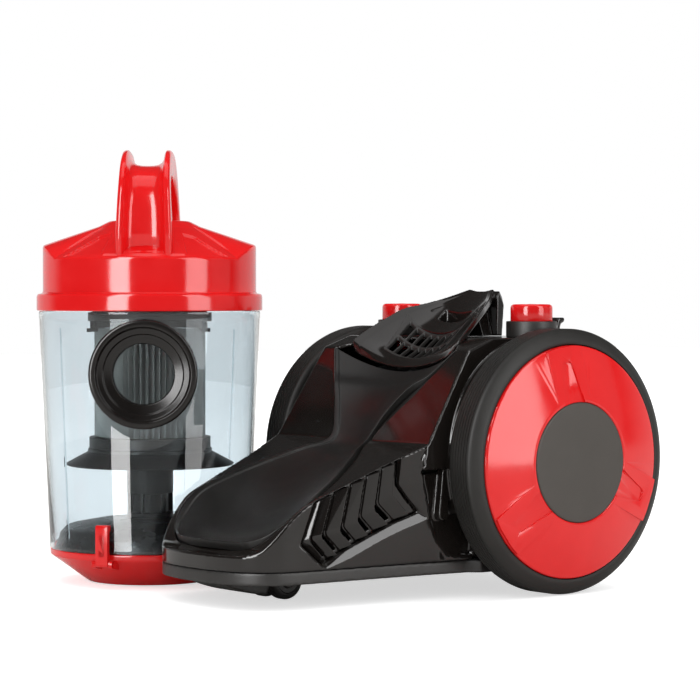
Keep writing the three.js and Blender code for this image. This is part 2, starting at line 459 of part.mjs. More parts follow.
// ------------------------------------------------------------------- wheels
for (const [side, name] of [[1, 'right'], [-1, 'left']]) {
  const at = (profile, seg = 36) => {
    const s = turned(profile, 'x', [0, 0, 95], seg);
    return side > 0 ? s : mirrorX(s);
  };
  const X = WHEEL_X0;
  add(machine, `stub_axle_${name}`, at([[0, 82], [AXLE_R, 82], [AXLE_R, 89.3], [16, 89.3], [16, 92], [AXLE_R, 92], [AXLE_R, 112], [0, 112]], 20), 'steel');
  const wheel = group(root);
  add(wheel, `tyre_${name}`, at([[84, X], [91, X], [93.6, X + 1], [WHEEL_R, X + 3], [WHEEL_R, 114.5], [94.2, 116.4], [91.4, 118.6], [88.4, 120.4], [85.6, 121], [84, 120.6]], 36), 'tyre');
  const rim = at([[AXLE_R + 0.35, 92.6], [20, 92.6], [22, 100], [74, 100], [76, X + 0.6], [83.2, X + 0.6], [83.2, 118.2], [81, 118.2], [79, 104], [22, 104], [20, 113], [AXLE_R + 0.35, 113]], 28);
  add(wheel, `wheel_rim_${name}`, rim, 'satin_black');
  let disc = at([[CAP_R + 0.3, 126.2], [CAP_R + 0.3, 129.4], [44.6, 129.8], [82.4, 121.7], [DISC_R, 120.6], [DISC_R, 118.6], [30, 118.6], [30, 121.5], [40, 123]], 36);
  // three raised flat bars, each with a tapered recess open to the hub
  for (const a of [7.6, -112.4, 127.6]) {
    const bar = new THREE.ExtrudeGeometry(new THREE.Shape([[44.6, 129.3], [82.6, 123.3], [82.6, 120.9], [44.6, 127]].map(([r, x]) => new THREE.Vector2(r, x))), { depth: 32, bevelEnabled: false });
    bar.translate(0, 0, -16);
    bar.applyMatrix4(new THREE.Matrix4().makeBasis(V3(0, 0, 1), V3(1, 0, 0), V3(0, 1, 0)));
    const dent = new THREE.ExtrudeGeometry(new THREE.Shape([[-10.4, 40], [10.4, 40], [4.8, 70], [3.4, 72.4], [-3.4, 72.4], [-4.8, 70]].map(([y, z]) => new THREE.Vector2(y, z))), { depth: 6, bevelEnabled: false });
    dent.applyMatrix4(new THREE.Matrix4().makeBasis(V3(0, 1, 0), V3(0, 0, 1), V3(1, 0, 0)));
    const lift = new THREE.Matrix4().makeRotationY(Math.atan2(6, 38));
    dent.translate(0, 0, -44.6); dent.applyMatrix4(lift.clone().invert()); dent.translate(128.1, 0, 44.6);
    let b = cut(toSolid(bar), toSolid(dent));
    let d = toSolid(dent);
    b = b.rotate([a, 0, 0]).translate([0, 0, 95]); d = d.rotate([a, 0, 0]).translate([0, 0, 95]);
    if (side < 0) { b = mirrorX(b); d = mirrorX(d); }
    disc = cut(join(disc, b.intersect(at([[43, 110], [82.9, 110], [82.9, 135], [43, 135]], 36))), d.intersect(at([[CAP_R + 0.3, 120], [80, 120], [80, 135], [CAP_R + 0.3, 135]], 36)));
  }
  add(wheel, `wheel_disc_${name}`, tidy(disc), 'red');
  add(wheel, `hub_cap_${name}`, at([[0, 114], [9, 114], [9, 121.8], [29, 121.8], [29.7, 123.4], [39.6, 124.6], [CAP_R, 126.6], [CAP_R, 129.5], [CAP_R - 0.6, 130], [0, 130]], 24), 'cap');
}

// ------------------------------------------------------------------- caster
{
  const [cx, cy] = CASTER, ay = cy - CASTER_TRAIL;
  const swivel = group(root);
  let fork = join(rod('z', 22, 29, 32.4, [cx, cy, 0], 28), rod('z', 4, 30, 44, [cx, cy, 0], 16), box([-5.5, ay - 6, 12], [5.5, cy + 6, 31]));
  fork = cut(fork, rod('x', 2.6, -20, 20, [0, ay, ROLLER_R], 16));
  add(swivel, 'caster_fork', fork, 'satin_black');
  const rollers = group(root);
  add(rollers, 'caster_axle', rod('x', 2.5, -17, 17, [0, ay, ROLLER_R], 16), 'steel');
  for (const [side, name] of [[1, 'right'], [-1, 'left']]) {
    const s = turned([[2.55, 6.2], [11.5, 6.2], [ROLLER_R, 7.5], [ROLLER_R, 15], [12, 16.6], [6, 17.6], [2.55, 17.6]], 'x', [0, ay, ROLLER_R], 20);
    add(rollers, `caster_roller_${name}`, side > 0 ? s : mirrorX(s), 'satin_black');
  }
}

// ----------------------------------------------------------------- dust bin
const bin = group(root, [BIN[0], BIN[1], 0], BIN_TURN);
{
  const rAt = (z) => CUP_R0 + ((CUP_R1 - CUP_R0) * (z - CUP_Z0)) / (CUP_Z1 - CUP_Z0);
  const cupOuter = (o) => turned([[0, CUP_Z0 - 10], [rAt(CUP_Z0 - 10) + o, CUP_Z0 - 10], [rAt(CUP_Z1 + 10) + o, CUP_Z1 + 10], [0, CUP_Z1 + 10]], 'z', [0, 0, 0], 36);
  // clear cup with the round inlet hole and a vertical seam rib
  let cup = turned([[CUP_R0 - CUP_T, CUP_Z0 + GAP], [CUP_R0, CUP_Z0 + GAP], [CUP_R1, CUP_Z1], [CUP_R1 - CUP_T, CUP_Z1]], 'z', [0, 0, 0], 36);
  const bore = (r, y0, y1, seg = 40) => rod('x', r, 0, y1 - y0, [0, 0, 0], seg).rotate([0, 0, 90]).translate([0, y0, INLET_Z]);
  cup = cut(cup, bore(36.5, -100, -40, 32));
  // hinge ears at the back foot of the cup
  const ear = (x0, x1) => cut(box([x0, 72.5, CUP_Z0 + 3], [x1, 83, CUP_Z0 + 15]).subtract(cupOuter(-1)), rod('x', 2.4, -30, 30, [0, 79.5, CUP_Z0 + 8.5], 16));
  cup = join(cup, ear(-15, -10), ear(10, 15));
  const binBody = group(bin);
  add(binBody, 'dust_cup', tidy(cup), 'clear');
  add(binBody, 'flap_hinge_pin', rod('x', 2.3, -15.4, 15.4, [0, 79.5, CUP_Z0 + 8.5], 16), 'steel');
  // inlet ring with stepped mouth and a neck through the cup wall
  let ring = cut(bore(INLET_R, -86, -62, 36), cupOuter(GAP));
  ring = join(ring, bore(36.1, -84, -67.5, 28));
  ring = cut(ring, bore(33.5, -95, -82.5, 28), bore(29, -95, -79, 28), bore(INLET_BORE, -95, -50, 28));
  add(binBody, 'inlet_ring', ring, 'satin_black');
  add(binBody, 'inlet_seal', cut(turned([[INLET_BORE + 1, -67.2], [33, -67.2], [33, -64.8], [INLET_BORE + 1, -64.8]], 'z', [0, 0, 0], 24).rotate([-90, 0, 0]).translate([0, 0, INLET_Z])), 'rubber');

  // bottom flap, its raised floor and seal, and the latch
  const flap = group(bin);
  let dish = turned([[0, 0], [46.5, 0], [47.5, 0.6], [74.4, 20], [75, 21.2], [75, CUP_Z0], [71, CUP_Z0], [70, 22], [45, 3.5], [0, 3.5]], 'z', [0, 0, 0], 36);
  const knuckle = join(rod('x', 3.6, -9.6, 9.6, [0, 79.5, CUP_Z0 + 8.5], 20), box([-9.6, 75.4, CUP_Z0 - 8], [9.6, 84.4, CUP_Z0 + 8.5]));
  dish = join(dish, cut(knuckle, cupOuter(GAP), rod('x', 2.36, -20, 20, [0, 79.5, CUP_Z0 + 8.5], 20)), box([-9.6, 70.5, CUP_Z0 - 8], [9.6, 78, CUP_Z0 - 3]));
  const la = -22; // latch stands left of the inlet
  const lugs = join(box([-8.2, -83, 14.5], [-5.2, -70, 22]), box([5.2, -83, 14.5], [8.2, -70, 22]));
  dish = join(dish, cut(lugs, rod('x', 1.8, -20, 20, [0, -80.4, 18.5], 12)).rotate([0, 0, la]));
  dish = cut(dish, turned([[0, 3.9], [43.5, 3.9], [70, 23], [71, 30], [0, 30]], 'z', [0, 0, 0], 36));
  add(flap, 'bin_flap', dish, 'red');
  add(flap, 'flap_floor', turned([[0, 3.9], [43.5, 4.4], [68.2, 22.6], [69.6, 25.4], [71.8, 25.4], [70, 28.2], [68.7, 31], [68.3, 33.5], [64, 38], [40, 43], [17, 45], [14.2, 45], [14.2, 40], [0, 40]], 'z', [0, 0, 0], 36), 'rubber');
  const latch = group(bin);
  let lever = join(box([-4.7, -82.6, 16.6], [4.7, -78.6, 47]), box([-4.7, -79, 43], [4.7, -76.8, 47]), rod('x', 1.5, -8, 8, [0, -80.4, 18.5], 12));
  lever = cut(lever, cupOuter(0.6), box([-2.2, -90, 26], [2.2, -70, 40]));
  lever = lever.rotate([0, 0, la]);
  add(latch, 'flap_latch', biggest(lever), 'red');
}

// --------------------------------------------------- dust bin: lid and filter
{
  const lid = group(bin);
  const SEG = 32;
  // rings of the lid's outer form: radius and height vary round the lid
  const side = (a) => { const c = Math.abs(Math.cos(a)); return THREE.MathUtils.smoothstep(c, 0.8, 0.92); };
  const ringAt = (f) => Array.from({ length: SEG }, (_, i) => { const a = (i / SEG) * 2 * Math.PI; const [r, z] = f(a); return V3(r * Math.cos(a), r * Math.sin(a), z); });
  const outer = loft([
    ringAt(() => [85, 202 + GAP]), ringAt(() => [85, 213]), ringAt(() => [84, 214.6]), ringAt(() => [80.6, 216]), ringAt(() => [80, 217.4]),
    ringAt((a) => [80, 240 + 9.5 * side(a)]), ringAt((a) => [78.4, 242 + 9.8 * side(a)]),
    ringAt((a) => [58, 252.5 + 6.2 * side(a)]), ringAt((a) => [38, 263.8 + 1.2 * side(a)]), ringAt(() => [32, 268.4]), ringAt(() => [30, 269.4]),
  ]);
  const inner = turned([[0, 195], [80.5, 195], [80.5, 206], [77.4, 209], [77.4, 236], [40, 258], [28, 265.5], [0, 265.5]], 'z', [0, 0, 0], 32);
  let cap = cut(outer, inner);
  // boss that carries the filter
  cap = join(cap, turned([[36, 206], [39, 206], [39, 262], [36, 262]], 'z', [0, 0, 0], 24));
  add(lid, 'bin_lid', cap, 'red');
  // carrying handle: web between two flanges, swept front to back
  const arch = (grow) => {
    const pts = [];
    const R = [[-64 - grow, 239], [-65.5 - grow, 262], [-62 - grow * 0.95, 284], [-50 - grow * 0.7, 301 + grow * 0.7], [-28 - grow * 0.3, 309.2 + grow * 0.95], [0, 310 + grow], [26 + grow * 0.3, 307.5 + grow * 0.95], [46 + grow * 0.7, 297 + grow * 0.7], [57 + grow * 0.95, 281], [60 + grow, 262], [59 + grow, 246]];
    return R;
  };
  const band = (out, inn, x0, x1) => crossPrism([...arch(out), ...arch(inn).reverse()], x0, x1);
  let handle = join(band(0, -5, -16, 16), band(12, -7, -20.4, -14.4), band(12, -7, 14.4, 20.4), box([-20.4, -68, 244], [20.4, -57, 250]).intersect(band(4, -7, -20.4, 20.4)));
  handle = cut(handle, loft([
    ringAt(() => [85 + GAP, 200]), ringAt(() => [85 + GAP, 214.6 + GAP]), ringAt((a) => [80 + GAP, 217.4 + GAP]),
    ringAt((a) => [80 + GAP, 240 + GAP + 9.5 * side(a)]), ringAt((a) => [78.4, 242.3 + 9.8 * side(a)]),
    ringAt((a) => [58, 252.8 + 6.2 * side(a)]), ringAt((a) => [38, 264.1 + 1.2 * side(a)]), ringAt(() => [32, 268.7]), ringAt(() => [30, 269.7]),
  ]));
  handle = biggest(handle);
  add(lid, 'carry_handle', handle, 'red');
  // filter unit hanging from the lid
  add(lid, 'filter_head', turned([[30, 190.3], [43, 190.3], [43, 196], [46.5, 196], [46.5, 199], [43, 199], [43, 205.7], [30, 205.7]], 'z', [0, 0, 0], 24), 'satin_black');
  add(lid, 'pleated_filter', turned([[30, 107.3], [42, 107.3], [42, 190], [30, 190]], 'z', [0, 0, 0], 24), 'filter');
  add(lid, 'filter_skirt', turned([[28, 95], [44.4, 95], [44.4, 94.4], [62.6, 85.6], [63.3, 86.6], [45.6, 96.6], [45.6, 107], [28, 107]], 'z', [0, 0, 0], 24), 'satin_black');
  add(lid, 'centre_tube', turned([[11.6, 46], [13.6, 46], [13.6, 62], [17.5, 62], [17.5, 94.7], [15.5, 94.7], [15.5, 64], [11.6, 64]], 'z', [0, 0, 0], 20), 'satin_black');
  add(lid, 'lid_seal', turned([[77.8, 202.6], [80.2, 202.6], [80.2, 205.6], [77.8, 205.6]], 'z', [0, 0, 0], 32), 'rubber');
}

root.position.set(ROOT[0], ROOT[1], 0);
export default root;
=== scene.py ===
import bpy, bmesh, math
import numpy as np
from mathutils import Vector, Matrix


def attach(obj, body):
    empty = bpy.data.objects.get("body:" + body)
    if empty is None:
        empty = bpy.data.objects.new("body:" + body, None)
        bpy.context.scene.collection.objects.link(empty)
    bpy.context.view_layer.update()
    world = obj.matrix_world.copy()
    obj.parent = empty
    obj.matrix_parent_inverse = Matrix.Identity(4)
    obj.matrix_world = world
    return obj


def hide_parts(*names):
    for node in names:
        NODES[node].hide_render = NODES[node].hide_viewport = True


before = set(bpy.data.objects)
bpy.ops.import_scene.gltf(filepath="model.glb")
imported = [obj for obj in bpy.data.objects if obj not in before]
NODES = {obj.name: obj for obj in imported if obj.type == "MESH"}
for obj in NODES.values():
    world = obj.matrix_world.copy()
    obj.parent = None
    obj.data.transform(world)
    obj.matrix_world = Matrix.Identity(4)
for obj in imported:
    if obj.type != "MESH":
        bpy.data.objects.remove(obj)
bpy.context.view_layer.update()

# ------------------------------------------------------------------ frame
OX, OY = 54.7, 82.5                 # working origin (axle on the floor) in the row frame, mm
BIN = (-154.4, -175.0); TURN = math.radians(52.1)
COL = bpy.context.scene.collection


def row(v):
    return Vector(((v[0] + OX) * .001, (v[1] + OY) * .001, v[2] * .001))


def body_xf(v):
    return ((v[0] + OX) * .001, (v[1] + OY) * .001, v[2] * .001)


CT, ST = math.cos(TURN), math.sin(TURN)


def bin_xf(v):
    x, y, z = v
    return ((BIN[0] + x * CT - y * ST + OX) * .001, (BIN[1] + x * ST + y * CT + OY) * .001, z * .001)


# ------------------------------------------------------------------ camera
cam_d = bpy.data.cameras.new("camera"); cam = bpy.data.objects.new("camera", cam_d); COL.objects.link(cam)
C = row((1414.03, -1251.03, 215.2))
right = Vector((0.62932, 0.777146, 0.0)); up = Vector((-0.017496, 0.014168, 0.999747)); fw = Vector((-0.776949, 0.629161, -0.022513))
cam.matrix_world = Matrix((
    (right.x, up.x, -fw.x, C.x), (right.y, up.y, -fw.y, C.y), (right.z, up.z, -fw.z, C.z), (0, 0, 0, 1)))
cam_d.sensor_width = 36; cam_d.lens = 2516 * 36 / 700; cam_d.clip_start = .05; cam_d.clip_end = 50
bpy.context.scene.camera = cam


# ------------------------------------------------------------------ mesh helpers (millimetres)
def make(name, verts, faces):
    me = bpy.data.meshes.new(name)
    me.from_pydata([tuple(map(float, v)) for v in verts], [], faces)
    me.validate(); me.update()
    ob = bpy.data.objects.new(name, me); COL.objects.link(ob)
    bm = bmesh.new(); bm.from_mesh(me)
    bmesh.ops.remove_doubles(bm, verts=bm.verts, dist=1e-4)
    bmesh.ops.recalc_face_normals(bm, faces=bm.faces)
    bm.to_mesh(me); bm.free()
    return ob


def drop(ob):
    me = ob.data
    bpy.data.objects.remove(ob)
    if me.users == 0:
        bpy.data.meshes.remove(me)


def bake(ob):
    """apply the modifiers of a working object"""
    dg = bpy.context.evaluated_depsgraph_get(); dg.update()
    me = bpy.data.meshes.new_from_object(ob.evaluated_get(dg))
    old = ob.data; ob.modifiers.clear(); ob.data = me
    bpy.data.meshes.remove(old)
    return ob


def boolean(a, b, op, keep=False):
    m = a.modifiers.new("b", "BOOLEAN"); m.operation = op; m.object = b
    try:
        m.solver = 'MANIFOLD'
    except Exception:
        m.solver = 'EXACT'
    bake(a)
    if len(a.data.polygons) == 0:
        print("EMPTY after", op, a.name, b.name)
    if not keep:
        drop(b)
    return a


def join(a, *bs):
    for b in bs: boolean(a, b, 'UNION')
    return a


def cut(a, *bs):
    for b in bs: boolean(a, b, 'DIFFERENCE')
    return a


def both(a, b):
    return boolean(a, b, 'INTERSECT')


def copy(ob, name=None):
    o = bpy.data.objects.new(name or ob.name + "_c", ob.data.copy()); COL.objects.link(o); return o


def move(ob, f):
    for v in ob.data.vertices: v.co = f(v.co)
    ob.data.update(); return ob


def flipn(ob):
    bm = bmesh.new(); bm.from_mesh(ob.data); bmesh.ops.reverse_faces(bm, faces=bm.faces); bm.to_mesh(ob.data); bm.free(); return ob


def mirrored(ob, name=None):
    o = copy(ob, name); move(o, lambda c: (-c.x, c.y, c.z)); return flipn(o)


def box(lo, hi):
    (x0, y0, z0), (x1, y1, z1) = lo, hi
    v = [(x, y, z) for x in (x0, x1) for y in (y0, y1) for z in (z0, z1)]
    return make("box", v, [(0, 1, 3, 2), (4, 6, 7, 5), (0, 4, 5, 1), (2, 3, 7, 6), (0, 2, 6, 4), (1, 5, 7, 3)])


def frame_of(axis, centre):
    cx, cy, cz = centre
    if axis == 'z': return lambda r, h, c, s: (cx + r * c, cy + r * s, cz + h)
    if axis == 'x': return lambda r, h, c, s: (cx + h, cy + r * c, cz + r * s)
    if axis == '-y': return lambda r, h, c, s: (cx + r * c, cy - h, cz + r * s)


def lathe(profile, axis='z', centre=(0, 0, 0), seg=128, name="lathe"):
    """turn a closed (r, h) profile round an axis"""
    f = frame_of(axis, centre); n = len(profile); vs = []; fs = []
    for i in range(seg):
        a = 2 * math.pi * i / seg; c, s = math.cos(a), math.sin(a)
        vs += [f(r, h, c, s) for r, h in profile]
    for i in range(seg):
        j = (i + 1) % seg
        for k in range(n):
            l = (k + 1) % n
            if profile[k][0] < 1e-6 and profile[l][0] < 1e-6: continue
            q = [i * n + k, i * n + l, j * n + l, j * n + k]
            if profile[k][0] < 1e-6: q = [i * n + k, i * n + l, j * n + l]
            elif profile[l][0] < 1e-6: q = [i * n + k, i * n + l, j * n + k]
            fs.append(q)
    return make(name, vs, fs)


def rod(axis, r, a, b, centre, seg=64):
    return lathe([(0, a), (r, a), (r, b), (0, b)], axis, centre, seg)


def fillet(pts, rads, n=4, closed=True):
    """round the corners of a polygon; rads is one radius or one for each corner"""
    m = len(pts)
    if not isinstance(rads, (list, tuple)): rads = [rads] * m
    out = []
    for i, (p, rr) in enumerate(zip(pts, rads)):
        if rr <= 0 or (not closed and i in (0, m - 1)):
            out.append(tuple(p)); continue
        a = Vector(pts[i - 1]) - Vector(p); b = Vector(pts[(i + 1) % m]) - Vector(p)
        la, lb = a.length, b.length
        if la < 1e-6 or lb < 1e-6: out.append(tuple(p)); continue
        a /= la; b /= lb
        ang = math.acos(max(-1, min(1, a.dot(b))))
        if ang > math.radians(172): out.append(tuple(p)); continue
        d = min(rr / math.tan(ang / 2), la * .48, lb * .48)
        s = Vector(p) + a * d; e = Vector(p) + b * d
        for k in range(n + 1):
            t = k / n
            q = (1 - t) ** 2 * s + 2 * t * (1 - t) * Vector(p) + t * t * e
            out.append(tuple(q))
    return out


def prism(outline, z0, z1):
    n = len(outline)
    v = [(x, y, z0) for x, y in outline] + [(x, y, z1) for x, y in outline]
    f = [tuple(range(n))[::-1], tuple(range(n, 2 * n))] + [(i, (i + 1) % n, n + (i + 1) % n, n + i) for i in range(n)]
    return make("prism", v, f)


def xprism(outline, x0, x1):
    """outline in (y, z), drawn across x"""
    n = len(outline)
    v = [(x0, y, z) for y, z in outline] + [(x1, y, z) for y, z in outline]
    f = [tuple(range(n)), tuple(range(n, 2 * n))[::-1]] + [(i, n + i, n + (i + 1) % n, (i + 1) % n) for i in range(n)]
    return make("xprism", v, f)


def loft(rings, name="loft"):
    n, m = len(rings[0]), len(rings)
    v = [p for r in rings for p in r]
    f = [(j * n + i, j * n + (i + 1) % n, (j + 1) * n + (i + 1) % n, (j + 1) * n + i) for j in range(m - 1) for i in range(n)]
    for ring, base in ((rings[0], 0), (rings[-1], (m - 1) * n)):
        c = [sum(p[k] for p in ring) / n for k in range(3)]
        v.append(c); ci = len(v) - 1
        f += [(base + i, base + (i + 1) % n, ci) for i in range(n)]
    return make(name, v, f)


def strip_loft(rings, half, name="strip"):
    """rings whose first `half` points run across the top and the rest back along the bottom: the ends are closed with strips"""
    n, m = len(rings[0]), len(rings)
    v = [p for r in rings for p in r]
    f = [(j * n + i, j * n + (i + 1) % n, (j + 1) * n + (i + 1) % n, (j + 1) * n + i) for j in range(m - 1) for i in range(n)]
    for base in (0, (m - 1) * n):
        for i in range(half - 1):
            f.append((base + i, base + i + 1, base + n - 2 - i, base + n - 1 - i))
    return make(name, v, f)


def catmull(rows, count):
    """smooth rows of numbers, uniform Catmull-Rom (tension 0.5), reflected ends"""
    P = np.array(rows, float); m = len(P)
    E = np.vstack([2 * P[0] - P[1], P, 2 * P[-1] - P[-2]])
    out = []
    for t in np.linspace(0, m - 1, count):
        i = min(int(t), m - 2); u = t - i
        p0, p1, p2, p3 = E[i], E[i + 1], E[i + 2], E[i + 3]
        out.append(.5 * (2 * p1 + (p2 - p0) * u + (2 * p0 - 5 * p1 + 4 * p2 - p3) * u * u + (3 * p1 - p0 - 3 * p2 + p3) * u ** 3))
    return out


def soften(ob, voxel, smooth=6, tris=None):
    """one moulded skin with small round edges"""
    m = ob.modifiers.new("r", "REMESH"); m.mode = 'VOXEL'; m.voxel_size = voxel; m.adaptivity = 0
    if smooth:
        s = ob.modifiers.new("s", "SMOOTH"); s.factor = .5; s.iterations = smooth
    bake(ob)
    if tris:
        t = 2 * len(ob.data.polygons)
        if t > tris:
            d = ob.modifiers.new("d", "DECIMATE"); d.ratio = tris / t; bake(ob)
    return ob


def bevel(ob, width, seg=3, angle=35):
    b = ob.modifiers.new("v", "BEVEL"); b.width = width; b.segments = seg; b.limit_method = 'ANGLE'; b.angle_limit = math.radians(angle); b.profile = .5
    b.use_clamp_overlap = True; b.harden_normals = False
    return bake(ob)


PIECES = {}


def done(ob, name, mat, body, xf, replaces=(), sharp=40):
    ob.name = name; ob.data.name = name
    for v in ob.data.vertices: v.co = xf(v.co)
    me = ob.data; me.update()
    me.materials.clear(); me.materials.append(mat)
    for p in me.polygons: p.use_smooth = True
    if sharp: me.set_sharp_from_angle(angle=math.radians(sharp))
    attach(ob, body)
    if replaces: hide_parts(*replaces)
    PIECES[name] = ob
    return ob


# ------------------------------------------------------------------ materials
def node_mat(name):
    m = bpy.data.materials.new(name); m.use_nodes = True
    nt = m.node_tree; b = nt.nodes["Principled BSDF"]
    return m, nt, b


def N(nt, kind, **kw):
    n = nt.nodes.new(kind)
    for k, v in kw.items():
        if k in n.inputs: n.inputs[k].default_value = v
        else: setattr(n, k, v)
    return n


def moulded(name, base, vary, rough, rough_var, bump_scale, bump, coat=0.0, coat_rough=0.05, spec=0.5, scale2=35.0):
    """moulded plastic: slow colour drift, fine texture, fine scuffs in the gloss, roughness that wanders"""
    m, nt, b = node_mat(name); L = nt.links
    tc = N(nt, "ShaderNodeTexCoord")
    n1 = N(nt, "ShaderNodeTexNoise", Scale=scale2, Detail=4.0, Roughness=.55); L.new(tc.outputs["Object"], n1.inputs["Vector"])
    n2 = N(nt, "ShaderNodeTexNoise", Scale=bump_scale, Detail=3.0, Roughness=.6); L.new(tc.outputs["Object"], n2.inputs["Vector"])
    ramp = N(nt, "ShaderNodeValToRGB"); L.new(n1.outputs["Fac"], ramp.inputs["Fac"])
    ramp.color_ramp.elements[0].position = .3; ramp.color_ramp.elements[0].color = (*base, 1)
    ramp.color_ramp.elements[1].position = .75; ramp.color_ramp.elements[1].color = (*vary, 1)
    L.new(ramp.outputs["Color"], b.inputs["Base Color"])
    # fine scuffs: stretched noise lifts the roughness in thin streaks
    mp = N(nt, "ShaderNodeMapping"); mp.inputs["Scale"].default_value = (1.0, .12, 1.0); mp.inputs["Rotation"].default_value = (.2, .4, .9)
    L.new(tc.outputs["Object"], mp.inputs["Vector"])
    n3 = N(nt, "ShaderNodeTexNoise", Scale=420.0, Detail=2.0, Roughness=.5); L.new(mp.outputs["Vector"], n3.inputs["Vector"])
    sc = N(nt, "ShaderNodeMapRange"); L.new(n3.outputs["Fac"], sc.inputs["Value"])
    sc.inputs["From Min"].default_value = .62; sc.inputs["From Max"].default_value = .74; sc.inputs["To Min"].default_value = 0; sc.inputs["To Max"].default_value = rough_var * .6
    mr = N(nt, "ShaderNodeMapRange"); L.new(n1.outputs["Fac"], mr.inputs["Value"])
    mr.inputs["From Min"].default_value = .3; mr.inputs["From Max"].default_value = .7
    mr.inputs["To Min"].default_value = rough; mr.inputs["To Max"].default_value = rough + rough_var
    ad = N(nt, "ShaderNodeMath", operation='ADD'); L.new(mr.outputs["Result"], ad.inputs[0]); L.new(sc.outputs["Result"], ad.inputs[1])
    L.new(ad.outputs[0], b.inputs["Roughness"])
    bp = N(nt, "ShaderNodeBump", Strength=bump, Distance=.0003); L.new(n2.outputs["Fac"], bp.inputs["Height"]); L.new(bp.outputs["Normal"], b.inputs["Normal"])
    b.inputs["Specular IOR Level"].default_value = spec
    b.inputs["Coat Weight"].default_value = coat; b.inputs["Coat Roughness"].default_value = coat_rough
    return m


GLOSS = moulded("gloss_black_plastic", (.0105, .0085, .0075), (.0135, .0112, .0098), .085, .05, 700, .02)
SATIN = moulded("satin_black_plastic", (.017, .015, .0135), (.023, .0205, .0185), .38, .10, 2600, .2)
RING = moulded("inlet_black_plastic", (.0085, .0068, .0060), (.0115, .0092, .0082), .15, .06, 2200, .06)
RED = moulded("gloss_red_plastic", (.80, .0085, .0095), (.86, .0115, .0125), .10, .05, 900, .02)
SLIDE = moulded("shelf_black_plastic", (.0085, .0076, .0068), (.0115, .0104, .0094), .36, .08, 1600, .06)
HUB = moulded("hub_grey_plastic", (.058, .050, .042), (.068, .059, .050), .46, .08, 3000, .16)
SEAL = moulded("black_rubber", (.016, .016, .017), (.024, .024, .025), .5, .15, 3000, .3)
INNER = moulded("inner_grey_plastic", (.06, .063, .067), (.085, .088, .092), .5, .15, 2000, .2)
TYRE = moulded("tyre_rubber", (.0145, .0132, .0115), (.0200, .0182, .0158), .46, .1, 2600, .14)
PAPER = moulded("filter_paper", (.15, .165, .165), (.21, .225, .222), .85, .1, 1500, .35)
DARK = moulded("filter_black_plastic", (.0050, .0050, .0052), (.0075, .0075, .0078), .34, .08, 2400, .12)
FLOOR = moulded("floor_black_rubber", (.008, .008, .0085), (.0125, .0125, .013), .22, .1, 2600, .12)


def clear_mat():
    m, nt, b = node_mat("clear_smoke_plastic"); L = nt.links
    tc = N(nt, "ShaderNodeTexCoord")
    n1 = N(nt, "ShaderNodeTexNoise", Scale=22.0, Detail=3.0); L.new(tc.outputs["Object"], n1.inputs["Vector"])
    ramp = N(nt, "ShaderNodeValToRGB"); L.new(n1.outputs["Fac"], ramp.inputs["Fac"])
    ramp.color_ramp.elements[0].color = (.78, .842, .872, 1); ramp.color_ramp.elements[1].color = (.80, .857, .885, 1)
    # painted shade: the base colour darkens towards grazing angles, standing in for the dark outlines that refraction
    # through the thick wall gives
    lw = N(nt, "ShaderNodeLayerWeight"); lw.inputs["Blend"].default_value = .5
    edge = N(nt, "ShaderNodeMapRange"); L.new(lw.outputs["Facing"], edge.inputs["Value"]); edge.inputs["From Min"].default_value = .72; edge.inputs["From Max"].default_value = .97
    painted_edge_shade = N(nt, "ShaderNodeMix"); painted_edge_shade.data_type = 'RGBA'; L.new(edge.outputs["Result"], painted_edge_shade.inputs[0])
    L.new(ramp.outputs["Color"], painted_edge_shade.inputs[6]); painted_edge_shade.inputs[7].default_value = (.30, .345, .37, 1)
    L.new(painted_edge_shade.outputs[2], b.inputs["Base Color"])
    n2 = N(nt, "ShaderNodeTexNoise", Scale=260.0, Detail=2.0); L.new(tc.outputs["Object"], n2.inputs["Vector"])
    mr = N(nt, "ShaderNodeMapRange"); L.new(n2.outputs["Fac"], mr.inputs["Value"])
    mr.inputs["To Min"].default_value = .012; mr.inputs["To Max"].default_value = .04; L.new(mr.outputs["Result"], b.inputs["Roughness"])
    b.inputs["Transmission Weight"].default_value = 1.0; b.inputs["IOR"].default_value = 1.09
    b.inputs["Coat Weight"].default_value = .85; b.inputs["Coat IOR"].default_value = 1.5; b.inputs["Coat Roughness"].default_value = .02
    return m


CLEAR = clear_mat()


for m_, lvl in ((DARK, .25), (FLOOR, .35), (RING, .38), (TYRE, .3), (SLIDE, .4), (PAPER, .2), (HUB, .35)):
    m_.node_tree.nodes["Principled BSDF"].inputs["Specular IOR Level"].default_value = lvl


def metal(name, col, rough):
    m = moulded(name, col, tuple(min(1, c * 1.15) for c in col), rough, .12, 1800, .12)
    m.node_tree.nodes["Principled BSDF"].inputs["Metallic"].default_value = 1.0
    return m


STEEL = metal("steel", (.52, .52, .51), .28)
COPPER = metal("copper_winding", (.60, .28, .14), .35)

for n, o in NODES.items():
    mat = {"motor_can": STEEL, "stub_axle_right": STEEL, "stub_axle_left": STEEL, "power_spring": STEEL, "cord_spring": STEEL,
           "caster_axle": STEEL, "flap_hinge_pin": STEEL, "motor_shaft": COPPER, "fan_cover": INNER, "impeller": INNER, "cord_reel": INNER,
           "power_switch": INNER, "exhaust_filter": PAPER, "pleated_filter": PAPER, "inlet_seal": SEAL, "lid_seal": SEAL, "flap_floor": SEAL,
           "dust_cup": CLEAR, "upper_housing": GLOSS, "cradle_panel": GLOSS, "hood": GLOSS, "vent_panel_right": GLOSS, "vent_panel_left": GLOSS}.get(n)
    if mat is None:
        mat = RED if n in ("power_pedal", "cord_pedal", "bin_lid", "carry_handle", "bin_flap", "flap_latch", "wheel_disc_right", "wheel_disc_left") else \
            HUB if n.startswith("hub_cap") else TYRE if n.startswith("tyre") else RING if n == "inlet_ring" else SATIN
    o.data.materials.clear(); o.data.materials.append(mat)

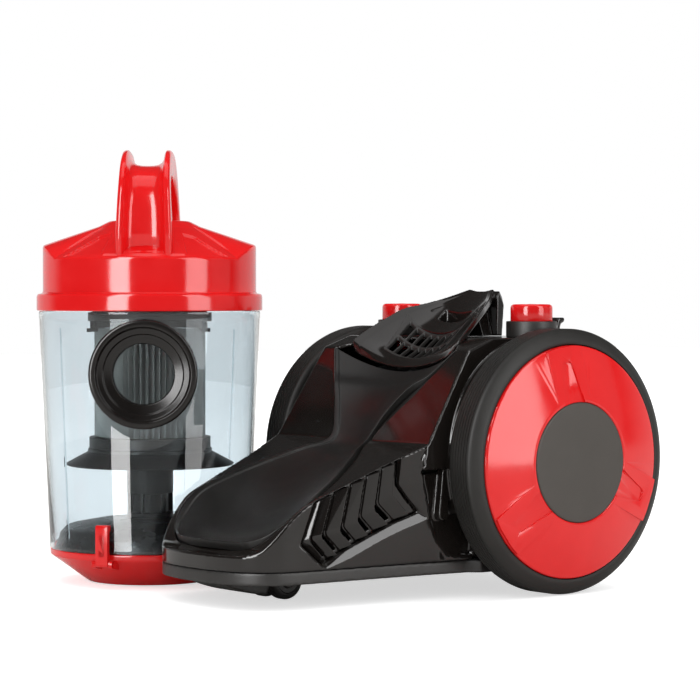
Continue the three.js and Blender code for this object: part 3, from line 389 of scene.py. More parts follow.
# ------------------------------------------------------------------ body forms, same tables as the solids
SPLIT = 26.0
HALF_PLAN = [(0, -247), (18, -246.4), (34, -243.6), (47, -238.5), (57, -231), (64, -221), (67.5, -208), (69, -194), (70, -182), (73, -140), (77, -100), (82, -66), (85, -62)]
FLARE = [(-247, 0, 0, 37), (-246.4, 18, 18, 37), (-243.6, 34, 34, 37), (-238.5, 47, 47, 37), (-231, 57, 57, 40), (-221, 64, 64.1, 50), (-208, 67.5, 67.9, 62), (-194, 69.2, 71, 73.8),
         (-182, 70, 72.7, 78.7), (-160, 71.6, 76.3, 87.6), (-140, 73, 79.4, 95.7), (-120, 75, 83.4, 103.8), (-105.6, 76.4, 86.9, 109.6), (-84, 79, 87.6, 118.3), (-60, 82, 88, 128)]
TOP_EDGE = [(-247.5, 37), (-238, 37.2), (-231, 40), (-226, 45), (-213, 60), (-203, 68.9), (-194, 73.8), (-60, 128)]
BLOCK = [(-111.7, 100), (-64.3, 174.8), (-40, 183.3), (36, 183.3), (47, 170)]
BN = Vector((1, 0, .072)).normalized()

def inset(pts, t):
    out = []
    for i, (x, y) in enumerate(pts):
        a = pts[max(i - 1, 0)]; b = pts[min(i + 1, len(pts) - 1)]
        nx, ny = -(b[1] - a[1]), b[0] - a[0]; l = math.hypot(nx, ny) or 1
        out.append((max(0, x + nx / l * t), y + ny / l * t))
    out[0] = (0, pts[0][1] + t)
    return out



def sides(half):
    h = [p for i, p in enumerate(half) if i == 0 or p[0] > .01]
    return h + [(-x, y) for x, y in h[1:][::-1]]



# the nose is a smooth curve, the sides keep the table
_n = catmull([(-243.6, -34, -34, 37), (-246.4, -18, -18, 37)] + FLARE, 16 * 8 + 1)[16:]
FL = np.array(_n[:]); FL[0, 1:3] = 0


def side_x(y, z):
    xf, xt, zt = (np.interp(y, FL[:, 0], FL[:, k]) for k in (1, 2, 3))
    return float(xf + (xt - xf) * (z - SPLIT) / (zt - SPLIT))


def slab(n, p, size=400):
    q = n.to_track_quat('Z', 'Y')
    b = box((-size / 2, -size / 2, -size), (size / 2, size / 2, 0))
    return move(b, lambda c: q @ c + p)


def envelope(t):
    low = SPLIT - (20 if t else 0)

    def ring(z):
        half = [(side_x(r[0], z), float(r[0])) for r in FL]; half[0] = (0.0, -247.0)
        ins = inset(half, t)
        ins = [(x if i < 50 else half[i][0] - t, y if i < len(half) - 1 else half[i][1]) for i, (x, y) in enumerate(ins)]
        return [(x, y, z) for x, y in sides(ins)]
    front = loft([ring(low), ring(130)])
    top = [(float(a), float(b) - t) for a, b in catmull(TOP_EDGE[:7], 49)] + [(-60, 128 - t)]
    front = both(front, xprism([(-262, low - 5), (-262, top[0][1])] + top + [(-60, low - 5)], -100, 100))
    rec = fillet([(-104, 116), (-108.6 + t, 98.7), (-106.5 + t, 82.4), (-98.7 + t, 57.4), (-93 + t, 42), (-90 + t, 30 + t), (-40, 30 + t), (-40, 135)], [0, 8, 10, 10, 8, 2, 0, 0], 5)
    for s in (1, -1):
        front = cut(front, xprism(rec, min(s * (79.5 - t), s * 110), max(s * (79.5 - t), s * 110)))
    drum = rod('x', 88 - t, -89 + t, 89 - t, (0, 0, 95), 200)
    d = [(.84, -.54), (.5, -.8), (0, -1), (-.5, -1), (-1, 0)]
    top = [(y + t * a, z + t * b) for (y, z), (a, b) in zip(BLOCK, d)]
    block = xprism([(-111.7 + t, low)] + top + [(47 - t, low)], -95, 95)
    for s in (1, -1):
        n = Vector((s * BN.x, 0, BN.z)); block = both(block, slab(n, Vector((s * 86.9, 0, 109.6)) - n * t))
    block = both(block, join(xprism([(-120, 92 - t), (-120, 200), (60, 200), (60, 92 - t)], -95, 95), box((-79.2 + t, -120, low), (79.2 - t, 60, 120))))
    body = both(join(drum, block), box((-120, -130, low), (120, 78 - t, 183.3 - t)))
    body = both(body, join(box((-120, -130, 60), (120, 90, 200)), box((-89 + t, -62 + t, low), (89 - t, 78, 100)), box((-79.2 + t, -90, low), (79.2 - t, 0, 100))))
    return join(front, body)


CRADLE = [(42, -229.5, 45.5, -236, 46), (54, -222.5, 50.5, -227, 46.5), (62.5, -211, 61, -214, 50), (66, -193.5, 74.9, -194, 62.5),
          (57.5, -168, 86.5, -167, 78), (40.5, -137.9, 99.6, -136, 93.5), (31.6, -125.1, 104.6, -122.5, 101), (21.5, -107.7, 111, -104, 109),
          (30, -96.5, 131, -89.5, 130), (42.8, -86.5, 148, -75, 146), (54.4, -76.5, 157.5, -64, 153), (68.4, -64.5, 174.8, -57.5, 158.5)]
HOOD = [(55, -57, 171.5, -55.5, 161), (59.2, -55.1, 180, -48.5, 167), (56.4, -45.7, 187.1, -37.5, 173), (52.3, -34.9, 194.1, -26.5, 181.5), (45.1, -18.7, 203.5, -12.5, 191.3),
        (37, -7.6, 207, -1.5, 199.8), (26.3, 6.1, 211.5, 8.5, 208), (13.2, 21.8, 218.5, 21.5, 217)]


def sheet(table, top, bottom, widen=0.0, stations=90, across=48, lift=0.0, lip=0.0, lip_w=6.0, taper=(1.0, 1.0)):
    """curved sheet through the rows of a table; lip sinks everything but a band along the edges"""
    rows = catmull(table, stations); rings = []
    for k, (rx, ry, rz, cy, cz) in enumerate(rows):
        a, b = rows[max(k - 1, 0)], rows[min(k + 1, len(rows) - 1)]
        n = Vector((0, -((b[2] + b[4]) - (a[2] + a[4])), (b[1] + b[3]) - (a[1] + a[3]))).normalized()
        w = lip_w * (taper[0] + (taper[1] - taper[0]) * k / (len(rows) - 1))

        def at(u, d):
            return Vector((u * (rx + widen), cy + (ry - cy) * u * u, cz + (rz - cz) * u * u)) + n * d
        us = [-1 + 2 * i / across for i in range(across + 1)]
        if lip:
            e = w / rx
            us = [-1, -1 + e * .5, -1 + e * .93, -1 + e] + [(-1 + e) + (2 - 2 * e) * i / (across - 6) for i in range(1, across - 6)] + [1 - e, 1 - e * .93, 1 - e * .5, 1]
        r = []
        for u in us:
            dip = lip if lip and abs(u) <= 1 - w / rx + 1e-6 else 0
            r.append(at(u, top - dip) + Vector((0, -.5, .866)) * lift)
        r += [at(u, bottom) for u in us[::-1]]
        rings.append([tuple(p) for p in r])
    return strip_loft(rings, len(rings[0]) // 2)


LOUVRES = [[(-188.1, 75.9), (-197.2, 46.4), (-181.5, 30.5)], [(-179.6, 79.3), (-187.7, 48.7), (-173.2, 34.7)], [(-166.8, 84.5), (-172.9, 52.1), (-161.2, 41.1)],
           [(-154.6, 89.4), (-158.7, 58), (-147.9, 47)], [(-142.4, 94.4), (-145.2, 65.4), (-131.5, 53.8)], [(-130.8, 98.9), (-131.4, 75.7), (-115.1, 59.6)]]
VENT_FRONT = [(-194, 72.9), (-203.6, 44.5), (-185.4, 29.2)]
POCKET = [((-194.6, 73.2), (-193.6, 72.4)), ((-126, 101.2), (-125.6, 100.4)), ((-107.2, 107.6), (-124.8, 82.1)), ((-110, 98.7), (-124.6, 81.9)), ((-107.9, 82.4), (-117, 73)), ((-100.6, 58), (-107, 62)),
          ((-124.4, 50), (-127, 55.4)), ((-146.4, 41.2), (-147.6, 46.6)), ((-164.1, 33.6), (-164, 39.6)), ((-183, 27.2), (-182.6, 30.8)), ((-188, 29.4), (-187, 31.2)), ((-204.6, 44.5), (-202.8, 44.6))]
RIM = [p[0] for p in POCKET]; FOOT = [p[1] for p in POCKET]


def on_side(p, d):
    return (side_x(p[0], p[1]) - d, p[0], p[1])


def mix(p, q, f):
    return tuple(a + (b - a) * f for a, b in zip(p, q))


CASTER = (0, -160)

# --- upper housing
shell = cut(envelope(0.0), envelope(3.0))
grow = [(-150 + (y + 150) * .985, 66 + (z - 66) * .985) for y, z in RIM]
fr = loft([[on_side(p, .6) for p in grow], [on_side(p, 8.4) for p in grow]])
shell = join(shell, mirrored(fr), fr)
shell = cut(shell, sheet(CRADLE, .3, -7.3, .4), move(sheet(CRADLE, .3, -7.3, .4), lambda c: c + Vector((0, -.6, 0))), sheet(CRADLE, 0, -3, .3, lift=80), sheet([(67, -66, 174, -58, 157.6), (64, -60, 176, -54, 160), (58, -54, 177, -50, 164)], 0, -3, 0, stations=12, lift=60))
shell = cut(shell, sheet(HOOD, .3, -4.8, .3), sheet(HOOD, 0, -3, .3, lift=60))
shell = cut(shell, rod('z', 38.6, 10, 36.4, (*CASTER, 0)))
pk = loft([[on_side(p, -3) for p in RIM], [on_side(p, 0) for p in RIM], [on_side(p, 3.2) for p in FOOT], [on_side(p, 20) for p in FOOT]])
shell = cut(shell, mirrored(pk), pk)
for sd in (1, -1):
    shell = cut(shell, rod('z', 6, 170, 190, (sd * 73, 5, 0)), rod('x', 10.4, min(sd * 80, sd * 95), max(sd * 80, sd * 95), (0, 0, 95)))
    lug = xprism(fillet([(25, 181), (25, 190.5), (26.6, 195.4), (29, 197.4), (34, 197.6), (34, 194.4), (30.2, 193), (29.2, 188), (31, 181)], .9, 3), 67, 78)
    rib = both(xprism(fillet([(-95.5, 56), (-93.6, 72), (-91.4, 92), (-90, 103), (-86, 103), (-86, 56)], 6, 5), 78.6, 86), rod('x', 60, 70, 90, (0, -41, 79.5), 160))
    if sd < 0: lug = flipn(move(lug, lambda c: (-c.x, c.y, c.z))); rib = flipn(move(rib, lambda c: (-c.x, c.y, c.z)))
    shell = join(shell, lug, rib)
shell = cut(shell, box((-48, 60, 70), (48, 90, 140)), lathe([(0, -95), (9.3, -95), (9.3, -60), (0, -60)], '-y', (-66, 0, 50), 48))
soften(shell, 0.85, 4, 260000)
done(shell, "housing_skin", GLOSS, "base", body_xf, ["upper_housing"], sharp=0)

# --- cradle: a smooth slide with a raised rim along both edges
ramp = sheet(CRADLE, 0, -7, stations=120, across=60, lip=1.0, lip_w=6.0, taper=(1.1, .45))
bevel(ramp, .9, 4, 38)
done(ramp, "cradle_skin", SLIDE, "base", body_xf, ["cradle_panel"], sharp=50)

# --- hood with its duct, rear fin, grille window and slot
hood = sheet(HOOD, 0, -4.5, stations=70, across=60, lip=.15, lip_w=7.0, taper=(1.0, .7))
under = both(sheet(HOOD, -4.4, -60, -12), box((-60, -6, 183.6), (60, 24, 230)))
under = cut(under, both(sheet(HOOD, -4.3, -80, -16), box((-60, -2, 180), (60, 17, 230))))
fin = both(xprism(fillet([(17, 183.6), (23, 183.6), (25.4, 213), (22.6, 217.8), (18, 214)], [0, 0, 2, 2, 1], 4), -22, 22), sheet(HOOD, -.6, -60, 6))
hood = join(hood, under, fin)
hood = cut(hood, sheet(CRADLE, .6, -7.3, .3))
GW = [(-33, -47), (33, -47), (37, -20), (-37, -20)]
hood = cut(hood, both(prism(fillet(GW, 4, 5), 150, 240), sheet(HOOD, 6, -9, -8)))
hood = cut(hood, both(prism(fillet([(-14.5, -9), (14.5, -9), (15.5, .5), (-15.5, .5)], 2.5, 4), 170, 240), sheet(HOOD, 6, -9, -2)))
soften(hood, .6, 4, 150000)
done(hood, "hood_skin", GLOSS, "base", body_xf, ["hood"], sharp=0)

grille = both(sheet(HOOD, -1.2, -3.6, -8, across=60), prism([(-32.7, -46.7), (32.7, -46.7), (36.7, -20.3), (-36.7, -20.3)], 150, 240))
for r in range(2):
    for c in range(8):
        x0, y0 = -31.6 + c * 7.95, -45.2 + r * 12.3
        grille = cut(grille, prism(fillet([(x0, y0), (x0 + 7.0, y0), (x0 + 7.0, y0 + 11.1), (x0, y0 + 11.1)], .9, 4), 140, 240))
bevel(grille, .35, 2, 40)
done(grille, "intake_bars", SATIN, "base", body_xf, ["intake_grille"], sharp=40)

# --- side vents
def bend(line, r=5.0, n=6):
    return fillet(line, [0, r, 0], n, closed=False)


def shutter(rear, lead, d_rear, d_lead, deep):
    n = len(rear); ring = [on_side(p, d_rear) for p in rear] + [on_side(p, d_lead) for p in lead[::-1]]
    base = [on_side(p, deep) for p in rear] + [on_side(p, deep) for p in lead[::-1]]
    return strip_loft([ring, base], n)


foot_in = [(y + (.5 if y < -150 else -.5), z + (.5 if z < 66 else -.5)) for y, z in FOOT]
panel = loft([[on_side(p, 6.2) for p in foot_in], [on_side(p, 8) for p in foot_in]])
for k, line in enumerate(LOUVRES):
    before = LOUVRES[k - 1] if k else VENT_FRONT
    lead = [mix(p, q, .42 if k else .36) for p, q in zip(before, line)]
    ends = lambda r: [mix(r[0], r[1], .06), r[1], mix(r[2], r[1], .1)]
    panel = join(panel, shutter(bend(ends(line)), bend(ends(lead)), .5, 4.6, 7.2))
    if k:
        a = [mix(p, q, .08) for p, q in zip(before, line)]; c = [mix(p, q, .34) for p, q in zip(before, line)]
        sl = lambda r: [mix(r[0], r[1], .12), r[1], mix(r[2], r[1], .2)]
        panel = cut(panel, shutter(bend(sl(a)), bend(sl(c)), 5, 5, 12))
panel = cut(panel, sheet(CRADLE, .3, -7.3, .5))
soften(panel, .42, 3, 110000)
left = mirrored(panel)
done(panel, "vent_louvres_right", GLOSS, "base", body_xf, ["vent_panel_right"], sharp=0)
done(left, "vent_louvres_left", GLOSS, "base", body_xf, ["vent_panel_left"], sharp=0)

# --- lower tray with its keel and caster well
hp = [(0.0, -247.0)] + [(float(r[1]), float(r[0])) for r in FL[1:57]] + HALF_PLAN[8:]


def plan(t):
    return sides(inset(hp, t) + [(89 - t, -58 + t), (89 - t, 58 - t), (80 - t, 70 - t), (70 - t, 77 - t)])


tray = cut(prism(plan(.4), 17, 25.7), prism(plan(3.4), 20, 40))
keel = xprism([tuple(p) for p in catmull([(-239, 18), (-228, 12.6), (-213, 8), (-203, 6.2), (-196.5, 6.6), (-195, 18)], 26)], -21, 21)
tray = join(tray, keel)
tray = cut(tray, rod('z', 35, 0, 33, (*CASTER, 0), 96))
tray = join(tray, lathe([(35, 17), (38, 17), (38, 36), (0, 36), (0, 33), (35, 33)], 'z', (*CASTER, 0), 96))
tray = cut(tray, rod('z', 4.3, 20, 45, (*CASTER, 0), 32))
soften(tray, .95, 4, 120000)
done(tray, "tray_skin", SATIN, "base", body_xf, ["lower_chassis"], sharp=0)

# --- rear grille and cord outlet
def pool(parts):
    verts, faces = [], []
    for o in parts:
        k = len(verts); verts += [tuple(v.co) for v in o.data.vertices]
        faces += [[k + i for i in p.vertices] for p in o.data.polygons]
        bpy.data.objects.remove(o)
    me = bpy.data.meshes.new("pool"); me.from_pydata(verts, [], faces); me.update()
    ob = bpy.data.objects.new("pool", me); COL.objects.link(ob)
    return ob


slats = [box((-47.7, 74.6, 70.3), (-42, 77.6, 139.7)), box((42, 74.6, 70.3), (47.7, 77.6, 139.7)),
         box((-42.6, 74.7, 70.4), (42.6, 77.5, 76)), box((-42.6, 74.7, 132.5), (42.6, 77.5, 139.6))]
slats += [box((-42.6, 74.9, 81.5 + i * 10.2), (42.6, 77.2, 86.2 + i * 10.2)) for i in range(5)]
rear = pool([bevel(o, .5, 3, 40) for o in slats])
done(rear, "exhaust_bars", SATIN, "base", body_xf, ["exhaust_grille"], sharp=40)
def turn(profile, rad, axis='z', centre=(0, 0, 0), seg=160, n=4):
    return lathe(fillet(profile, [0 if p[0] < 1e-6 else rad for p in profile], n), axis, centre, seg)


mouth = join(turn([(5, -82), (9, -82), (9, -74), (5, -74)], .5, '-y', (-66, 0, 50), 64), turn([(5, -81), (12.5, -81), (12.5, -78.3), (5, -78.3)], .9, '-y', (-66, 0, 50), 96))
done(mouth, "cord_mouth", SATIN, "base", body_xf, ["cord_outlet"])

# --- pedals and collars
for side, name, bod in ((1, "power", "power_button"), (-1, "cord", "cord_button")):
    c = (side * 73, 5, 0)
    col = turn([(15.9, 183.3), (18.5, 183.3), (18.5, 195), (15.9, 195)], .9, 'z', c, 128)
    done(col, name + "_collar_ring", SATIN, "base", body_xf, ["pedal_collar_" + name])
    cap = lathe([(0, 172), (4, 172), (4, 189), (14.7, 189), (15.3, 189.6), (15.3, 204.6), (15.0, 205.9), (14.2, 206.8), (13.1, 207.3), (11.9, 207.3), (11.2, 207.0), (9, 207.1), (0, 207.6)], 'z', c, 160)
    done(cap, name + "_pedal_cap", RED, bod, body_xf, [name + "_pedal"], sharp=45)

# --- wheels
def wheel_side(ob, side):
    return ob if side > 0 else flipn(move(ob, lambda c: (-c.x, c.y, c.z)))


tread = [(84, 94), (91, 94), (92.6, 94.5), (93.9, 95.6), (94.6, 96.6), (95, 98)]
for g in range(6):
    x = 99.4 + g * 2.7
    tread += [(95, x), (94.45, x + .25), (94.45, x + .65), (95, x + .9)]
tread += [(95, 114.8), (94.6, 116), (93.4, 117.3), (91.4, 118.6), (88.4, 120.2), (86.4, 120.8), (85.2, 120.9), (84, 120.4)]
for side, name in ((1, "right"), (-1, "left")):
    W = (0, 0, 95); bod = "wheel_" + name
    done(wheel_side(lathe(tread, 'x', W, 256), side), "tread_" + name, TYRE, bod, body_xf, ["tyre_" + name], sharp=32)
    rim = turn([(10.35, 92.6), (20, 92.6), (22, 100), (74, 100), (76, 94.6), (83.2, 94.6), (83.2, 118.2), (81, 118.2), (79, 104), (22, 104), (20, 113), (10.35, 113)], .8, 'x', W, 160, 3)
    for k in range(6):
        a = math.radians(30 + 60 * k)
        spoke = box((97.6, -2.2, 21), (100.4, 2.2, 75))
        spoke = move(spoke, lambda c, a=a: (c.x, c.y * math.cos(a) - c.z * math.sin(a), c.y * math.sin(a) + c.z * math.cos(a) + 95))
        rim = join(rim, spoke)
    done(wheel_side(rim, side), "rim_" + name, SATIN, bod, body_xf, ["wheel_rim_" + name])
    disc = lathe([(43, 126.2), (43, 129.1), (43.4, 129.5), (44.6, 129.7), (46, 129.5), (81.6, 121.95), (82.6, 121.5), (83.15, 120.8), (83.3, 120), (83.3, 118.6), (30, 118.6), (30, 121.5), (40, 123)], 'x', W, 256)
    th = math.atan2(6, 38)
    for ang in (7.6, -112.4, 127.6):
        bar = move(prism([(44.6, 129.3), (82.6, 123.3), (82.6, 120.9), (44.6, 127)], -16, 16), lambda c: (c.y, c.z, c.x))
        bar = both(bar, move(prism([(-16, 40), (16, 40), (16, 84), (-16, 84)], 110, 140), lambda c: (c.z, c.x, c.y)))
        dent = move(prism(fillet([(-10.4, 40), (10.4, 40), (4.8, 70), (3.4, 72.4), (-3.4, 72.4), (-4.8, 70)], [0, 0, 4, 1.5, 1.5, 4], 4), 0, 6), lambda c: (c.z, c.x, c.y))
        R = Matrix.Rotation(-th, 3, 'Y')
        dent = move(dent, lambda c: R @ (c - Vector((0, 0, 44.6))) + Vector((128.1, 0, 44.6)))
        A = Matrix.Rotation(math.radians(ang), 3, 'X')
        for o in (bar, dent): move(o, lambda c: A @ c + Vector((0, 0, 95)))
        bar = both(bar, lathe([(43, 110), (82.9, 110), (82.9, 135), (43, 135)], 'x', W, 200))
        dent = both(dent, lathe([(43.1, 110), (80, 110), (80, 135), (43.1, 135)], 'x', W, 200))
        disc = cut(join(disc, bar), dent)
    bevel(disc, .35, 2, 24)
    done(wheel_side(disc, side), "disc_" + name, RED, bod, body_xf, ["wheel_disc_" + name], sharp=24)
    cap = lathe([(0, 114), (9, 114), (9, 121.8), (29, 121.8), (29.7, 123.4), (39.6, 124.6), (42.5, 126.6), (42.7, 127), (42.7, 129.2), (42.45, 129.7), (41.9, 129.95), (41, 130), (0, 130)], 'x', W, 256)
    done(wheel_side(cap, side), "cap_" + name, HUB, bod, body_xf, ["hub_cap_" + name], sharp=45)

# --- caster
cx, cy = CASTER; ay = cy - 15
fork = join(turn([(0, 29), (22, 29), (22, 32.4), (0, 32.4)], 1, 'z', (cx, cy, 0), 96), rod('z', 4, 31, 44, (cx, cy, 0), 40), xprism(fillet([(ay - 6, 12), (cy + 6, 20), (cy + 6, 31), (ay - 6, 31)], [5, 3, 0, 0], 6), -5.5, 5.5))
fork = cut(fork, rod('x', 2.6, -20, 20, (0, ay, 13.5), 32))
bevel(fork, .5, 2, 45)
done(fork, "fork_skin", SATIN, "caster_swivel", body_xf, ["caster_fork"])
for side, name in ((1, "right"), (-1, "left")):
    r = lathe([(2.55, 6.2), (11.2, 6.2), (12.6, 6.6), (13.3, 7.6), (13.5, 8.8), (13.5, 10.4), (13.1, 10.6), (13.1, 11.4), (13.5, 11.6), (13.5, 13.6), (13.2, 14.8), (12.4, 15.9), (11.2, 16.6), (9.5, 16.9), (8.6, 16.2), (5.6, 16.2), (5, 17.2), (4.4, 17.6), (2.55, 17.6)], 'x', (0, ay, 13.5), 128)
    done(wheel_side(r, side), "roller_" + name, SATIN, "caster_rollers", body_xf, ["caster_roller_" + name], sharp=32)

# ------------------------------------------------------------------ dust bin
r_at = lambda z: 75 + 8 * (z - 25) / 177


def cup_outer(o):
    return lathe([(0, 15), (r_at(15) + o, 15), (r_at(212) + o, 212), (0, 212)], 'z', (0, 0, 0), 256)


cup = lathe([(72.8, 25.6), (73.1, 25.3), (75.3, 25.3), (75.7, 26), (75.7, 29.2), (75.25, 29.8), (r_at(196.4), 196.4), (r_at(197) + .3, 197), (83, 201.4), (82.4, 202), (81, 202), (80.8, 201.6), (r_at(196) - 2.2, 196), (r_at(31) - 2.2, 31)], 'z', (0, 0, 0), 288)
cup = cut(cup, lathe([(0, 40), (36.5, 40), (36.5, 100), (0, 100)], '-y', (0, 0, 156.6), 96))
for x0 in (-15, 10):
    ear = cut(box((x0, 72.5, 28), (x0 + 5, 83, 40)), lathe([(0, 15), (r_at(15) - 1, 15), (r_at(212) - 1, 212), (0, 212)], 'z', (0, 0, 0), 192), rod('x', 2.4, -30, 30, (0, 79.5, 33.5), 32))
    cup = join(cup, ear)
# graduated guide rib and the seam of the mould
for a, w in ((-52, 1.0), (128, 1.0)):
    rb = box((-w / 2, -81.5, 34), (w / 2, -72, 190))
    t = math.radians(a); rb = move(rb, lambda c, t=t: (c.x * math.cos(t) - c.y * math.sin(t), c.x * math.sin(t) + c.y * math.cos(t), c.z))
    rb = both(rb, lathe([(0, 30), (r_at(30) - 1.2, 30), (r_at(195) - 1.2, 195), (0, 195)], 'z', (0, 0, 0), 192))
    rb = cut(rb, lathe([(0, 25), (r_at(25) - 3.6, 25), (r_at(200) - 3.6, 200), (0, 200)], 'z', (0, 0, 0), 192))
    cup = join(cup, rb)
done(cup, "cup_skin", CLEAR, "dust_bin", bin_xf, ["dust_cup"], sharp=40)

IZ = 156.6
ring = lathe(fillet([(22, 67.6), (36.1, 67.6), (36.1, 80), (39.5, 80), (39.5, 86), (34.6, 86), (33.4, 82.9), (29.4, 82.4), (28.8, 79.2), (22.6, 78.2), (22, 76)], [0, .5, 0, 0, 2.6, .8, .8, .6, .6, .6, .4], 5), '-y', (0, 0, IZ), 200)
skirt_r = cut(lathe([(34, 60), (39.5, 60), (39.5, 81), (34, 81)], '-y', (0, 0, IZ), 200), cup_outer(.3))
ring = join(ring, skirt_r)
done(ring, "inlet_mouth", RING, "dust_bin", bin_xf, ["inlet_ring"], sharp=35)

# pleated filter: a folded star of paper
vs = []; fs = []; P = 56
for i in range(2 * P):
    a = math.pi * i / P; r = 42.0 if i % 2 == 0 else 36.2
    for z in (107.3, 190.0): vs.append((r * math.cos(a), r * math.sin(a), z))
    for z in (107.3, 190.0): vs.append((30.5 * math.cos(a), 30.5 * math.sin(a), z))
n4 = 2 * P
for i in range(n4):
    j = (i + 1) % n4
    a0, a1, b0, b1 = 4 * i, 4 * i + 1, 4 * i + 2, 4 * i + 3; c0, c1, d0, d1 = 4 * j, 4 * j + 1, 4 * j + 2, 4 * j + 3
    fs += [(a0, c0, c1, a1), (b0, b1, d1, d0), (a0, b0, d0, c0), (a1, c1, d1, b1)]
pleats = make("pleats", vs, fs); bevel(pleats, .5, 2, 30)
done(pleats, "filter_pleats", PAPER, "lid_unit", bin_xf, ["pleated_filter"], sharp=60)

headp = turn([(30, 190.3), (43, 190.3), (43, 196), (46.5, 196), (46.5, 199), (43, 199), (43, 205.7), (30, 205.7)], .5, 'z', (0, 0, 0), 160, 3)
for s in (1, -1):
    headp = join(headp, box((min(s * 33, s * 43.6), -16, 187.5), (max(s * 33, s * 43.6), -6, 196)), box((min(s * 37, s * 46), -18, 187.5), (max(s * 37, s * 46), -11, 190.4)))
bevel(headp, .4, 2, 45)
done(headp, "filter_top", DARK, "lid_unit", bin_xf, ["filter_head"], sharp=35)
sk = lathe(fillet([(28, 95), (44.4, 95), (44.4, 94.4), (62.6, 85.6), (63.3, 86.6), (46.6, 95.8), (46.6, 98), (45.6, 98.6), (45.6, 107), (28, 107)], .4, 3), 'z', (0, 0, 0), 200)
done(sk, "skirt_skin", DARK, "lid_unit", bin_xf, ["filter_skirt"], sharp=35)
tb = lathe(fillet([(11.2, 45.4), (17.6, 45.4), (17.6, 48.8), (13.7, 49.4), (13.7, 63.4), (17.5, 64), (17.5, 94.7), (15.3, 94.7), (15.3, 66), (11.2, 64)], .4, 3), 'z', (0, 0, 0), 128)
for k in range(6):
    a = math.radians(60 * k + 12); rb = box((13, -.9, 49), (17.2, .9, 66)); tb = join(tb, move(rb, lambda c, a=a: (c.x * math.cos(a) - c.y * math.sin(a), c.x * math.sin(a) + c.y * math.cos(a), c.z)))
done(tb, "tube_skin", DARK, "lid_unit", bin_xf, ["centre_tube"], sharp=35)

# bottom flap, its floor and the latch
dish = lathe(fillet([(0, 0), (46.5, 0), (47.5, .6), (74.4, 20), (75, 21.2), (75, 25), (71, 25), (70, 23.2), (43.5, 3.9), (0, 3.5)], [0, 2, 2, 1.6, 1, .8, .6, 1, 2, 0], 5), 'z', (0, 0, 0), 256)
kn = join(rod('x', 3.6, -9.6, 9.6, (0, 79.5, 33.5), 64), box((-9.6, 75.4, 17), (9.6, 83.1, 33.5)))
kn = cut(kn, lathe([(0, 25.2), (r_at(25) + .5, 25.2), (r_at(212) + .5, 212), (0, 212)], 'z', (0, 0, 0), 192), rod('x', 2.36, -20, 20, (0, 79.5, 33.5), 48))
dish = join(dish, kn)
LA = math.radians(-22)
def turn_z(ob, a=LA): return move(ob, lambda c: (c.x * math.cos(a) - c.y * math.sin(a), c.x * math.sin(a) + c.y * math.cos(a), c.z))
for x0 in (-8.2, 5.2):
    lg = cut(xprism(fillet([(-82, 16), (-82, 20.8), (-70, 20.8), (-70, 14)], [2.2, 2.2, 0, 0], 5), x0, x0 + 1.6 + (1.4 if x0 > 0 else 1.4)), rod('x', 1.8, -20, 20, (0, -80.4, 18.5), 32))
    dish = join(dish, turn_z(lg))
dish = cut(dish, lathe([(0, 3.9), (43.5, 3.9), (70, 23), (71, 30), (0, 30)], 'z', (0, 0, 0), 192))
bevel(dish, .4, 2, 40)
done(dish, "flap_dish", RED, "flap_unit", bin_xf, ["bin_flap"], sharp=35)
fl = lathe(fillet([(0, 3.9), (43.5, 4.4), (68.2, 22.6), (69.6, 25.4), (71.8, 25.4), (70, 28.2), (68.7, 31), (68.3, 33.5), (64, 38), (40, 43), (17, 45), (14.2, 45), (14.2, 40), (0, 40)], [0, 1, 1, .5, .6, .8, .8, 1.5, 5, 8, .6, .6, .4, 0], 5), 'z', (0, 0, 0), 200)
done(fl, "floor_dome", FLOOR, "flap_unit", bin_xf, ["flap_floor"], sharp=35)
lv = join(xprism(fillet([(-82.6, 16.6), (-78.6, 16.6), (-78.6, 42), (-76.8, 43), (-76.8, 47), (-82.6, 47)], [1.8, 1.8, .5, .6, .8, 2.4], 5), -4.7, 4.7), rod('x', 1.3, -7.9, 7.9, (0, -80.4, 18.5), 32))
lv = cut(lv, move(prism(fillet([(-2.2, 24), (2.2, 24), (2.2, 40), (-2.2, 40)], 2.0, 6), -95, -79.8), lambda c: (c.x, c.z, c.y)), lathe([(0, 15), (r_at(15) + .6, 15), (r_at(212) + .6, 212), (0, 212)], 'z', (0, 0, 0), 192))
bevel(lv, .5, 3, 40)
done(turn_z(lv), "latch_loop", RED, "latch_unit", bin_xf, ["flap_latch"], sharp=40)

# lid: turned rim and drum, a shouldered cone with sunk petals, flat hub
PET = [(25.6, 37.0), (35.5, 34.6), (61.3, 50.0), (30.8, 68.0)]


def sstep(x, a, b):
    t = min(1, max(0, (x - a) / (b - a))); return t * t * (3 - 2 * t)


def petal(x, y):
    d = 1e9
    for i in range(4):
        (x0, y0), (x1, y1) = PET[i], PET[(i + 1) % 4]
        l = math.hypot(x1 - x0, y1 - y0)
        s = ((x1 - x0) * (y - y0) - (y1 - y0) * (x - x0)) / l
        d = min(d, s)
    return d


FRZ = ([30, 32, 38, 58, 78.4, 79.6, 80], [269.4, 268.4, 263.8, 252.5, 242, 241.2, 240])
SHZ = ([30, 32, 38, 58, 78.4, 79.6, 80], [269.4, 268.4, 265.4, 258.7, 251.8, 251.0, 249.5])


